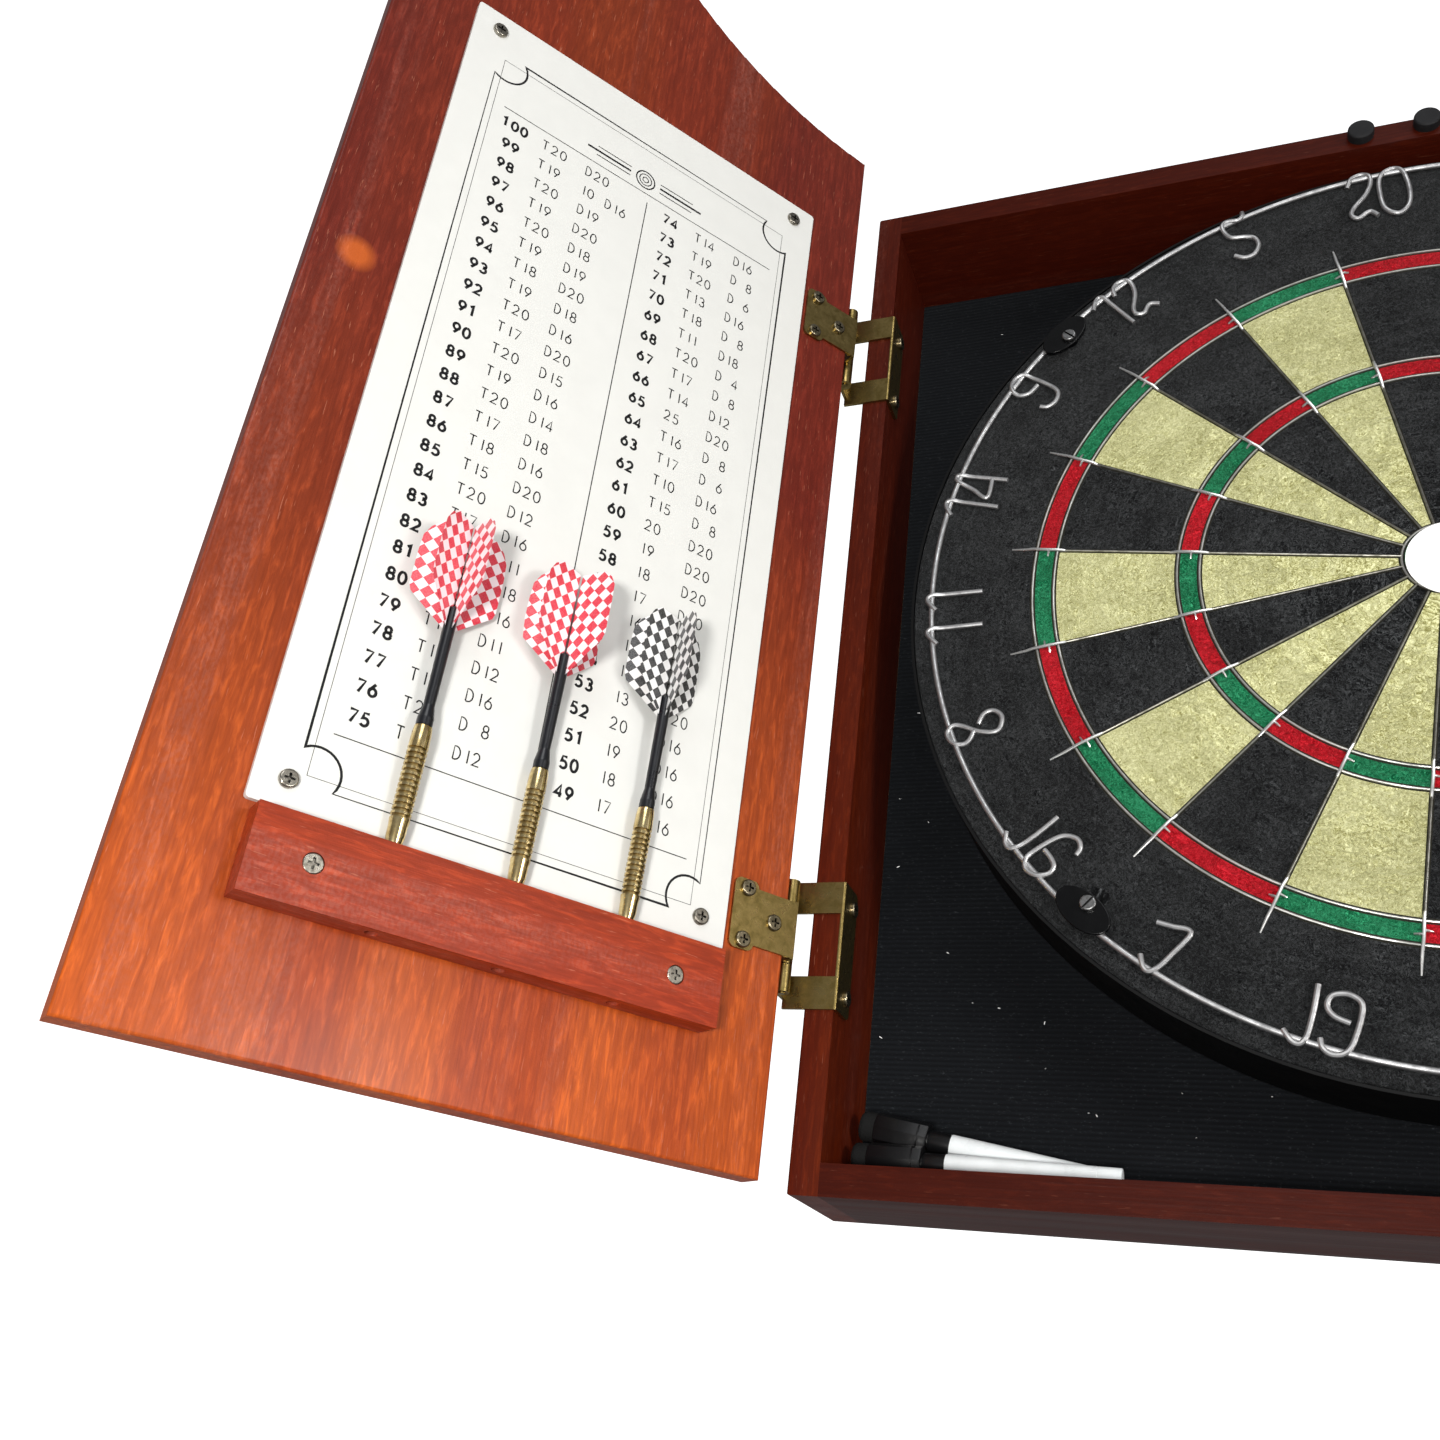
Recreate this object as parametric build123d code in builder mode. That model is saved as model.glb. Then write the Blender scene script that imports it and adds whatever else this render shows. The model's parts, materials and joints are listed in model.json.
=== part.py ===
"""Wall-hung dart board cabinet: a shallow wooden box with two arched doors,
a bristle board that turns on its hanging bolt, darts in their holder and two marker pens.

Frame: origin at the middle of the back, on the wall face; +Z up, +X right, front faces -Y.
Units are millimetres.  The doors are modelled standing open.
"""
from build123d import *
import math
import os

os.makedirs("parts", exist_ok=True)

# ---------------------------------------------------------------- driving dimensions
BOX_WIDTH = 512.0
BOX_HEIGHT = 516.0
BOX_DEPTH = 62.0
STOCK = 12.7                     # thickness of the solid wood, half an inch
BACK_THICK = 5.0
CLOTH_THICK = 1.0
EDGE_ROUND = 1.2                 # eased edges of the woodwork

WALL_SCREW_X = 406.4             # wall studs stand 16 inches apart
WALL_SCREW_Z = 120.0
WALL_SCREW_RADIUS = 2.6
CLOTH_HOLE_RADIUS = 4.5

BOARD_Z = 13.4                   # board centre above the middle of the box
BOARD_RADIUS = 225.5
BOARD_THICK = 38.0
BOARD_GAP = 7.4                  # cloth to the back of the board
CORE_THICK = 12.0                # chipboard backing of the bristle
BAND_WIDTH = 1.2                 # steel band round the rim
WIRE = 1.6                       # spider wire
DOUBLE_RINGS = (169.3, 159.8)
TREBLE_RINGS = (106.3, 96.8)
BULL_RINGS = (16.6, 7.1)
SPOKE_END = 181.0
NUMBER_RING_RADIUS = 218.8
NUMBER_RING_WIRE = 2.6
NUMBER_RING_LIFT = 2.8           # the ring sits a little high on the board
NUMBER_RING_SHIFT = 3.2          # and a little to the right
CLIP_LENGTH = 26.0
CLIP_WIDTH = 15.0
CLIP_THICK = 1.2
CLIP_CENTRE = 216.0              # from the middle of the number ring
CLIP_SCREW = 212.8
CLIP_ANGLES = (137.5, 45, 315, 226.5)
STICKER_RADIUS = 17.7
STICKER_SHIFT = (2.4, -1.2)       # the label was stuck on a little off centre

DOOR_WIDTH = 254.6
DOOR_OPEN = 125.2                # degrees from closed to the modelled pose
DOOR_GAP = 5.0                   # closed door to the front of the box
DOOR_BOTTOM = -256.8
DOOR_SHOULDER = 279.8            # height of the door's top at the hinge side
DOOR_CREST_RISE = 88.0           # how far the arch climbs to the meeting edge
PIN_X = 262.0
PIN_AHEAD = 12.0                 # hinge pin in front of the box
PIN_RADIUS = 1.5
PIN_FIT = 0.05
KNUCKLE_RADIUS = 3.2
HINGE_Z = (157.5, -157.5)
LEAF_THICK = 1.2
FRAME_LEAF_THICK = 1.5
FRAME_LEAF_HALF = 27.5
FRAME_LEAF_REACH = 16.5          # how far the strip runs back inside the box
FRAME_SCREW_BACK = 10.8
FRAME_SCREW_Z = 19.5
KNUCKLE_END = 24.0               # half height of the whole knuckle
ARM_INNER = 13.7
KNUCKLE_SPLIT = 12.2             # half height of the door leaf's knuckle
KNUCKLE_PLAY = 0.4
DOOR_LEAF = (15.7, 27.3)         # the leaf's wide part, from and to, measured from the hinge edge
DOOR_LEAF_HEIGHT = 29.2
DOOR_LEAF_NECK = (-4.3, 18.0)    # its narrow part
DOOR_LEAF_NECK_HEIGHT = 23.6

SCREW_HEAD = 3.4                 # the small screws of the hinges and panels
SCREW_SHANK = 1.7
SCREW_HOLE = 1.8

PANEL_WIDTH = 189.0              # printed panels inside the doors
PANEL_HEIGHT = 392.0
PANEL_THICK = 2.4
PANEL_SIDE = 30.5                # from the hinge edge
PANEL_BOTTOM = 81.2              # above the door's bottom
HOLDER_WIDTH = 181.6
HOLDER_HEIGHT = 30.5
HOLDER_THICK = 12.0
HOLDER_SIDE = 34.8
HOLDER_BOTTOM = 47.8
DART_PLACES = (168.8, 122.3, 76.2)
DART_OFFSET = 6.0                # dart axis in front of the door
DART_TILT = 2.8                  # degrees, the flights lean off the door
# each fin's direction round the shaft, from the door's free edge towards the room;
# the two rear fins of each dart are pressed flatter by the door
FIN_ANGLES = (
    (38, 98, -165, -25),
    (25, 115, -154, -26),
    (20, 85, -155, -24),
)
POINT_HOLE = 2.6
POINT_RADIUS = 1.1
POINT_LENGTH = 27.0
BARREL_RADIUS = 3.6
BARREL_LENGTH = 45.5
SHAFT_RADIUS = 2.3
SHAFT_LENGTH = 48.0
FLIGHT_LENGTH = 44.0
FLIGHT_HALF = 18.0
FLIGHT_THICK = 0.5
KNOB_SIDE = 236.0
KNOB_HEIGHT = 309.0

PEN_RADIUS = 4.6
PEN_LENGTH = 106.0
PEN_CAP_RADIUS = 6.9
PEN_CAP_LENGTH = 28.5
PEN_CAP_BORE = 4.6
PEN_NIB_RADIUS = 3.8             # the part of the barrel inside the cap
PEN_NECK = 9.5                   # between the cap and the white barrel

FRONT = -BOX_DEPTH
INNER_X = BOX_WIDTH / 2 - STOCK
INNER_Z = BOX_HEIGHT / 2 - STOCK
CLOTH_FACE = -(BACK_THICK + CLOTH_THICK)
BOARD_BACK = CLOTH_FACE - BOARD_GAP
BOARD_FACE = BOARD_BACK - BOARD_THICK
PIN_Y = FRONT - PIN_AHEAD
RING_Z = BOARD_Z + NUMBER_RING_LIFT
RING_X = NUMBER_RING_SHIFT

OPEN = math.radians(DOOR_OPEN)


def save(part, name):
    """Label one finished piece and write it as its own file."""
    part.label = name
    export_step(part, f"parts/{name}.step")


def save_pair(part, left, right):
    """Write a left-hand piece and its mirror image."""
    save(part, left)
    with BuildPart() as twin:
        mirror(part, about=Plane.YZ)
    save(twin.part, right)


def board_plane(y):
    """A plane facing the room, centred on the board, at depth y; local y is up."""
    return Plane(origin=(0, y, BOARD_Z), x_dir=(1, 0, 0), z_dir=(0, -1, 0))


def ring_plane(y):
    """The same, centred on the number ring."""
    return Plane(origin=(RING_X, y, RING_Z), x_dir=(1, 0, 0), z_dir=(0, -1, 0))


def screw(plane, head_radius, head_thick, shank_radius, shank_length):
    """A cross-head screw whose seat lies on the plane, pointing into it."""
    with BuildPart() as body:
        with BuildSketch(plane):
            Circle(head_radius)
        extrude(amount=head_thick)
        fillet(body.edges().group_by(Axis(plane.origin, plane.z_dir))[-1], head_thick * 0.45)
        with BuildSketch(plane):
            Circle(shank_radius)
        extrude(amount=-shank_length)
        top = plane.offset(head_thick)
        with BuildSketch(top):
            Rectangle(head_radius * 1.1, head_radius * 0.26)
            Rectangle(head_radius * 0.26, head_radius * 1.1)
        extrude(amount=-head_thick * 0.5, mode=Mode.SUBTRACT)
    return body.part


def gather(pieces):
    """Put identical separate solids together in one piece."""
    with BuildPart() as group:
        for piece in pieces:
            add(piece)
    return group.part


# ---------------------------------------------------------------- box
with BuildPart() as side_panel:
    with BuildSketch(Plane.XY.offset(-BOX_HEIGHT / 2)):
        with Locations((-BOX_WIDTH / 2 + STOCK / 2, -BOX_DEPTH / 2)):
            Rectangle(STOCK, BOX_DEPTH)
    extrude(amount=BOX_HEIGHT)
    outer = side_panel.faces().sort_by(Axis.X)[0]
    fillet(outer.edges(), EDGE_ROUND)
save_pair(side_panel.part, "side_panel_left", "side_panel_right")

for panel_name, panel_z in (("top_panel", INNER_Z), ("bottom_panel", -BOX_HEIGHT / 2)):
    with BuildPart() as rail:
        with BuildSketch(Plane.XY.offset(panel_z)):
            with Locations((0, -BOX_DEPTH / 2)):
                Rectangle(2 * INNER_X, BOX_DEPTH)
        extrude(amount=STOCK)
    save(rail.part, panel_name)

wall_plane = Plane(origin=(0, 0, 0), x_dir=(1, 0, 0), z_dir=(0, -1, 0))
with BuildPart() as back_panel:
    with BuildSketch(wall_plane):
        Rectangle(2 * INNER_X, 2 * INNER_Z)
        with Locations((0, BOARD_Z)):
            with GridLocations(WALL_SCREW_X, WALL_SCREW_Z, 2, 2):
                Circle(WALL_SCREW_RADIUS, mode=Mode.SUBTRACT)
    extrude(amount=BACK_THICK)
save(back_panel.part, "back_panel")

with BuildPart() as backing_cloth:
    with BuildSketch(wall_plane.offset(BACK_THICK)):
        Rectangle(2 * INNER_X - 0.4, 2 * INNER_Z - 0.4)
        with Locations((0, BOARD_Z)):
            with GridLocations(WALL_SCREW_X, WALL_SCREW_Z, 2, 2):
                Circle(CLOTH_HOLE_RADIUS, mode=Mode.SUBTRACT)
    extrude(amount=CLOTH_THICK)
save(backing_cloth.part, "backing_cloth")

# ---------------------------------------------------------------- door bumpers
BUMPER_RADIUS = 6.0
BUMPER_THICK = DOOR_GAP - 0.4
BUMPER_X = 14.5
BUMPER_Z = BOX_HEIGHT / 2 - STOCK / 2 + 2.0
front_plane = Plane(origin=(0, FRONT, 0), x_dir=(1, 0, 0), z_dir=(0, -1, 0))
with BuildPart() as door_bumpers:
    with BuildSketch(front_plane):
        with GridLocations(2 * BUMPER_X, 2 * BUMPER_Z, 2, 2):
            Circle(BUMPER_RADIUS)
    extrude(amount=BUMPER_THICK)
    fillet(door_bumpers.edges().group_by(Axis.Y)[0], 1.0)
save(door_bumpers.part, "door_bumpers")

# ---------------------------------------------------------------- hanging bracket
BOLT_RADIUS = 3.0
BOLT_FIT = 0.1
BRACKET_WIDTH = 34.0
BRACKET_HEIGHT = 46.0
BRACKET_PLATE = 1.6
BRACKET_REACH = 6.2              # from the cloth to the front of the raised plate
FLANGE_WIDTH = 14.0
BRACKET_DROP = -6.0              # middle of the bracket below the bolt
BRACKET_HOLE_Z = 14.0
BRACKET_HOLE = 2.0
BRACKET_SCREW = (3.6, 1.8, 1.9)  # head radius, head thickness, shank radius
BRACKET_HOLE_X = (BRACKET_WIDTH + FLANGE_WIDTH) / 2
bracket_plane = board_plane(CLOTH_FACE)
with BuildPart() as board_bracket:
    with BuildSketch(bracket_plane):
        with Locations((0, BRACKET_DROP)):
            Rectangle(BRACKET_WIDTH + 2 * FLANGE_WIDTH, BRACKET_HEIGHT)
    extrude(amount=BRACKET_PLATE)
    with BuildSketch(bracket_plane):
        with Locations((0, BRACKET_DROP)):
            Rectangle(BRACKET_WIDTH, BRACKET_HEIGHT)
    extrude(amount=BRACKET_REACH)
    with BuildSketch(bracket_plane):
        with Locations((0, BRACKET_DROP + BRACKET_PLATE)):
            Rectangle(BRACKET_WIDTH - 2 * BRACKET_PLATE, BRACKET_HEIGHT)
    extrude(amount=BRACKET_REACH - BRACKET_PLATE, mode=Mode.SUBTRACT)
    with BuildSketch(bracket_plane):
        Circle(BOLT_RADIUS + BOLT_FIT)
        with Locations((0, 20)):
            Rectangle(2 * (BOLT_RADIUS + BOLT_FIT), 40)
    extrude(amount=BRACKET_REACH, mode=Mode.SUBTRACT)
    with BuildSketch(bracket_plane):
        with Locations((0, BRACKET_DROP)):
            with GridLocations(2 * BRACKET_HOLE_X, 2 * BRACKET_HOLE_Z, 2, 2):
                Circle(BRACKET_HOLE)
    extrude(amount=BRACKET_PLATE, mode=Mode.SUBTRACT)
save(board_bracket.part, "board_bracket")

bracket_seat = bracket_plane.offset(BRACKET_PLATE)
bracket_screws = []
for x in (-BRACKET_HOLE_X, BRACKET_HOLE_X):
    for z in (BRACKET_DROP - BRACKET_HOLE_Z, BRACKET_DROP + BRACKET_HOLE_Z):
        spot = bracket_seat.from_local_coords((x, z, 0))
        seat = Plane(origin=spot, x_dir=(1, 0, 0), z_dir=(0, -1, 0))
        bracket_screws.append(screw(seat, *BRACKET_SCREW, BRACKET_PLATE))
save(gather(bracket_screws), "bracket_screws")

# ---------------------------------------------------------------- board
face_plane = board_plane(BOARD_FACE)
back_plane = board_plane(BOARD_BACK)
DISC_RADIUS = BOARD_RADIUS - BAND_WIDTH
BRISTLE_THICK = BOARD_THICK - CORE_THICK
BOLT_DEPTH = 9.0

with BuildPart() as sisal_disc:
    with BuildSketch(face_plane):
        Circle(DISC_RADIUS)
    extrude(amount=-BRISTLE_THICK)
save(sisal_disc.part, "sisal_disc")

with BuildPart() as board_core:
    with BuildSketch(back_plane):
        Circle(DISC_RADIUS)
        Circle(BOLT_RADIUS, mode=Mode.SUBTRACT)
    extrude(amount=BOLT_DEPTH)
    with BuildSketch(back_plane.offset(BOLT_DEPTH)):
        Circle(DISC_RADIUS)
    extrude(amount=CORE_THICK - BOLT_DEPTH)
save(board_core.part, "board_core")

with BuildPart() as board_band:
    with BuildSketch(face_plane):
        Circle(BOARD_RADIUS)
        Circle(DISC_RADIUS, mode=Mode.SUBTRACT)
    extrude(amount=-BOARD_THICK)
save(board_band.part, "board_band")

with BuildPart() as spider:
    with BuildSketch(face_plane):
        for radius in DOUBLE_RINGS + TREBLE_RINGS + BULL_RINGS:
            Circle(radius + WIRE / 2)
            Circle(radius - WIRE / 2, mode=Mode.SUBTRACT)
        spoke_length = SPOKE_END - BULL_RINGS[0]
        with PolarLocations((SPOKE_END + BULL_RINGS[0]) / 2, 20, start_angle=9):
            Rectangle(spoke_length, WIRE)
    extrude(amount=WIRE * 0.75)
save(spider.part, "spider")

with BuildPart() as number_ring:
    ring_centre = ring_plane(BOARD_FACE - NUMBER_RING_WIRE / 2 - 0.1)
    section = Plane(origin=ring_centre.from_local_coords((NUMBER_RING_RADIUS, 0, 0)),
                    x_dir=(1, 0, 0), z_dir=(0, 0, 1))
    with BuildSketch(section):
        Circle(NUMBER_RING_WIRE / 2)
    revolve(axis=Axis(ring_centre.origin, (0, -1, 0)))
save(number_ring.part, "number_ring")

CLIP_STAND = NUMBER_RING_WIRE + 0.5        # underside of the clip above the board face
CLIP_BOSS = 3.6
CLIP_SHANK = 1.6
CLIP_HEAD_THICK = 1.7
CLIP_SLOT = 0.9
clip_screws = []
for number, angle in enumerate(CLIP_ANGLES, start=1):
    heading = math.radians(angle)
    centre = ring_plane(BOARD_FACE).from_local_coords(
        (CLIP_CENTRE * math.cos(heading), CLIP_CENTRE * math.sin(heading), 0))
    outward = (math.cos(heading), 0, math.sin(heading))
    clip_plane = Plane(origin=centre, x_dir=outward, z_dir=(0, -1, 0))
    inset = CLIP_SCREW - CLIP_CENTRE
    with BuildPart() as clip:
        with BuildSketch(clip_plane.offset(CLIP_STAND)):
            Ellipse(CLIP_WIDTH / 2, CLIP_LENGTH / 2)
        extrude(amount=CLIP_THICK)
        fillet(clip.edges().group_by(Axis.Y)[0], 0.4)
        with BuildSketch(clip_plane.offset(0.3)):
            with Locations((inset, 0)):
                Circle(CLIP_BOSS)
        extrude(amount=CLIP_STAND)
        with BuildSketch(clip_plane):
            with Locations((inset, 0)):
                Circle(CLIP_SHANK + 0.08)
        extrude(amount=CLIP_STAND + 2 * CLIP_THICK, mode=Mode.SUBTRACT)
    save(clip.part, f"ring_clip_{number}")
    screw_at = clip_plane.from_local_coords((inset, 0, 0))
    with BuildPart() as clip_screw:
        with BuildSketch(Plane(origin=screw_at, x_dir=outward, z_dir=(0, -1, 0))):
            Circle(CLIP_SHANK)
        extrude(amount=CLIP_STAND + CLIP_THICK + 0.3)
        head_plane = Plane(origin=screw_at, x_dir=outward,
                           z_dir=(0, -1, 0)).offset(CLIP_STAND + CLIP_THICK + 0.3)
        with BuildSketch(head_plane):
            Circle(SCREW_HEAD)
        extrude(amount=CLIP_HEAD_THICK)
        fillet(clip_screw.edges().group_by(Axis.Y)[0], 0.8)
        with BuildSketch(head_plane.offset(CLIP_HEAD_THICK)):
            Rectangle(2 * SCREW_HEAD + 0.2, CLIP_SLOT)
        extrude(amount=-CLIP_SLOT, mode=Mode.SUBTRACT)
    clip_screws.append(clip_screw.part)
save(gather(clip_screws), "ring_clip_screws")

BOLT_HEAD_RADIUS = 6.6
BOLT_HEAD_FRONT = BRACKET_REACH - BRACKET_PLATE - 0.4
BOLT_HEAD_THICK = 2.4
with BuildPart() as hanging_bolt:
    with BuildSketch(board_plane(CLOTH_FACE).offset(BOLT_HEAD_FRONT - BOLT_HEAD_THICK)):
        Circle(BOLT_HEAD_RADIUS)
    extrude(amount=BOLT_HEAD_THICK)
    with BuildSketch(board_plane(CLOTH_FACE).offset(BOLT_HEAD_FRONT)):
        Circle(BOLT_RADIUS)
    extrude(amount=BOARD_GAP - BOLT_HEAD_FRONT + BOLT_DEPTH)
save(hanging_bolt.part, "hanging_bolt")

SPACER_CENTRE = 176.0            # three felt pads keep the board parallel to the back
SPACER_RADIUS = 11.0
with BuildPart() as board_spacers:
    with BuildSketch(back_plane):
        with PolarLocations(SPACER_CENTRE, 3, start_angle=90):
            Circle(SPACER_RADIUS)
    extrude(amount=-(BOARD_GAP - 0.6))
save(board_spacers.part, "board_spacers")

with BuildPart() as bull_sticker:
    with BuildSketch(board_plane(BOARD_FACE - WIRE * 0.75)):
        with Locations(STICKER_SHIFT):
            Circle(STICKER_RADIUS)
    extrude(amount=0.4)
save(bull_sticker.part, "bull_sticker")

# ---------------------------------------------------------------- hinges on the box
frame_leaves = []
frame_screws = []
pins = []
for hinge_z in HINGE_Z:
    with BuildPart() as frame_leaf:
        with BuildSketch(Plane.XY.offset(hinge_z - FRAME_LEAF_HALF)):
            with Locations((-INNER_X + FRAME_LEAF_THICK / 2,
                            FRONT + (FRAME_LEAF_REACH - FRAME_LEAF_THICK) / 2)):
                Rectangle(FRAME_LEAF_THICK, FRAME_LEAF_REACH + FRAME_LEAF_THICK)
        extrude(amount=2 * FRAME_LEAF_HALF)
        for low, high in ((ARM_INNER, FRAME_LEAF_HALF), (-FRAME_LEAF_HALF, -ARM_INNER)):
            with BuildSketch(Plane.XY.offset(hinge_z + low)):
                arm_left = -PIN_X - KNUCKLE_RADIUS
                arm_right = -INNER_X + FRAME_LEAF_THICK
                with Locations(((arm_left + arm_right) / 2, FRONT - FRAME_LEAF_THICK / 2)):
                    Rectangle(arm_right - arm_left, FRAME_LEAF_THICK)
            extrude(amount=high - low)
        outer_bend = frame_leaf.edges().filter_by(Axis.Z).group_by(Axis.Y)[0].sort_by(Axis.X)
        fillet(outer_bend.group_by(Axis.X)[-1], 1.2)
        for low in (KNUCKLE_SPLIT + KNUCKLE_PLAY, -KNUCKLE_END):
            with BuildSketch(Plane.XY.offset(hinge_z + low)):
                with Locations((-PIN_X - KNUCKLE_RADIUS + FRAME_LEAF_THICK / 2, (PIN_Y + FRONT) / 2)):
                    Rectangle(FRAME_LEAF_THICK, PIN_AHEAD)
                with Locations((-PIN_X, PIN_Y)):
                    Circle(KNUCKLE_RADIUS)
                    Circle(PIN_RADIUS + 0.02, mode=Mode.SUBTRACT)
            extrude(amount=KNUCKLE_END - KNUCKLE_SPLIT - KNUCKLE_PLAY)
        strip_top = frame_leaf.edges().filter_by(Axis.X).group_by(Axis.Y)[-1]
        fillet(strip_top, 3.0)
    frame_leaves.append(frame_leaf.part)
    for screw_z in (FRAME_SCREW_Z, -FRAME_SCREW_Z):
        seat = Plane(origin=(-INNER_X + FRAME_LEAF_THICK, FRONT + FRAME_SCREW_BACK, hinge_z + screw_z),
                     x_dir=(0, 1, 0), z_dir=(1, 0, 0))
        with BuildPart() as leaf_hole:
            add(frame_leaves[-1])
            with BuildSketch(seat):
                Circle(SCREW_HOLE)
            extrude(amount=-FRAME_LEAF_THICK, mode=Mode.SUBTRACT)
        frame_leaves[-1] = leaf_hole.part
        frame_screws.append(screw(seat, SCREW_HEAD, 1.5, SCREW_SHANK, FRAME_LEAF_THICK))
    with BuildPart() as pin:
        with BuildSketch(Plane(origin=(-PIN_X, PIN_Y, hinge_z - KNUCKLE_END - 0.6))):
            Circle(PIN_RADIUS)
        extrude(amount=2 * KNUCKLE_END + 1.2)
    pins.append(pin.part)
save_pair(gather(frame_leaves), "hinge_frame_leaves_left", "hinge_frame_leaves_right")

with BuildPart() as both_frame_screws:
    for piece in frame_screws:
        add(piece)
    mirror(about=Plane.YZ)
save(both_frame_screws.part, "hinge_frame_screws")

with BuildPart() as both_pins:
    for piece in pins:
        add(piece)
    mirror(about=Plane.YZ)
save(both_pins.part, "hinge_pins")

# ---------------------------------------------------------------- doors, standing open
EDGE_X = -BOX_WIDTH / 2 + PIN_X            # hinge edge seen from the pin, door closed
FACE_Y = FRONT - DOOR_GAP - PIN_Y          # inner face seen from the pin, door closed
door = Plane(
    origin=(
        -PIN_X + EDGE_X * math.cos(OPEN) + FACE_Y * math.sin(OPEN),
        PIN_Y - EDGE_X * math.sin(OPEN) + FACE_Y * math.cos(OPEN),
        DOOR_BOTTOM,
    ),
    x_dir=(math.cos(OPEN), -math.sin(OPEN), 0),
    z_dir=(-math.sin(OPEN), -math.cos(OPEN), 0),
)
SHOULDER = DOOR_SHOULDER - DOOR_BOTTOM


def on_door(across, up, proud):
    """A plane on the inside of the left door, facing into the room side of the open door."""
    return Plane(origin=door.from_local_coords((across, up, -proud)),
                 x_dir=-door.x_dir, z_dir=-door.z_dir)


with BuildPart() as door_panel:
    with BuildSketch(door):
        with BuildLine():
            Line((0, SHOULDER), (0, 0))
            Line((0, 0), (DOOR_WIDTH, 0))
            Line((DOOR_WIDTH, 0), (DOOR_WIDTH, SHOULDER + DOOR_CREST_RISE))
            halfway = (DOOR_WIDTH / 2, SHOULDER + DOOR_CREST_RISE / 2)
            TangentArc((DOOR_WIDTH, SHOULDER + DOOR_CREST_RISE), halfway, tangent=(-1, 0))
            TangentArc((0, SHOULDER), halfway, tangent=(1, 0))
        make_face()
    extrude(amount=STOCK)
    fillet(door_panel.faces().filter_by(Plane(door.origin, z_dir=door.z_dir)).edges(), EDGE_ROUND)
save_pair(door_panel.part, "door_panel_left", "door_panel_right")

PANEL_CENTRE = (PANEL_SIDE + PANEL_WIDTH / 2, PANEL_BOTTOM + PANEL_HEIGHT / 2)
PANEL_SCREW_X = 165.0
PANEL_SCREW_Z = 371.6
with BuildPart() as chart_panel:
    with BuildSketch(on_door(*PANEL_CENTRE, 0)):
        RectangleRounded(PANEL_WIDTH, PANEL_HEIGHT, 1.5)
        with GridLocations(PANEL_SCREW_X, PANEL_SCREW_Z, 2, 2):
            Circle(SCREW_HOLE, mode=Mode.SUBTRACT)
    extrude(amount=PANEL_THICK)
save_pair(chart_panel.part, "chart_panel", "score_panel")

panel_screws = [
    screw(on_door(PANEL_CENTRE[0] + x * PANEL_SCREW_X / 2, PANEL_CENTRE[1] + z * PANEL_SCREW_Z / 2,
                  PANEL_THICK), SCREW_HEAD, 1.7, SCREW_SHANK, PANEL_THICK)
    for x in (-1, 1) for z in (-1, 1)
]
save_pair(gather(panel_screws), "chart_screws", "score_screws")

HOLDER_TOP = HOLDER_BOTTOM + HOLDER_HEIGHT
HOLDER_SCREWS = (194.7, 55.2)
HOLDER_HEAD = 3.6
HOLDER_SEAT = HOLDER_THICK - 1.2         # the heads are sunk flush
holder_base = Plane(origin=door.from_local_coords((0, HOLDER_BOTTOM, 0)),
                    x_dir=door.x_dir, z_dir=(0, 0, 1))
with BuildPart() as dart_holder:
    with BuildSketch(holder_base):
        with Locations((HOLDER_SIDE + HOLDER_WIDTH / 2, HOLDER_THICK / 2)):
            Rectangle(HOLDER_WIDTH, HOLDER_THICK)
        with Locations(*[(place, DART_OFFSET) for place in DART_PLACES]):
            Circle(POINT_HOLE, mode=Mode.SUBTRACT)
    extrude(amount=HOLDER_HEIGHT)
    for across in HOLDER_SCREWS:
        with BuildSketch(on_door(across, HOLDER_BOTTOM + HOLDER_HEIGHT / 2, 0)):
            Circle(1.9)
        extrude(amount=HOLDER_THICK, mode=Mode.SUBTRACT)
        with BuildSketch(on_door(across, HOLDER_BOTTOM + HOLDER_HEIGHT / 2, HOLDER_SEAT)):
            Circle(HOLDER_HEAD + 0.1)
        extrude(amount=HOLDER_THICK - HOLDER_SEAT, mode=Mode.SUBTRACT)
save_pair(dart_holder.part, "dart_holder_left", "dart_holder_right")

HOLDER_MIDDLE = HOLDER_BOTTOM + HOLDER_HEIGHT / 2
holder_screws = [
    screw(on_door(across, HOLDER_MIDDLE, HOLDER_SEAT), HOLDER_HEAD, 1.1, SCREW_HOLE, HOLDER_SEAT)
    for across in HOLDER_SCREWS
]
save_pair(gather(holder_screws), "holder_screws_left", "holder_screws_right")

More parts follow.
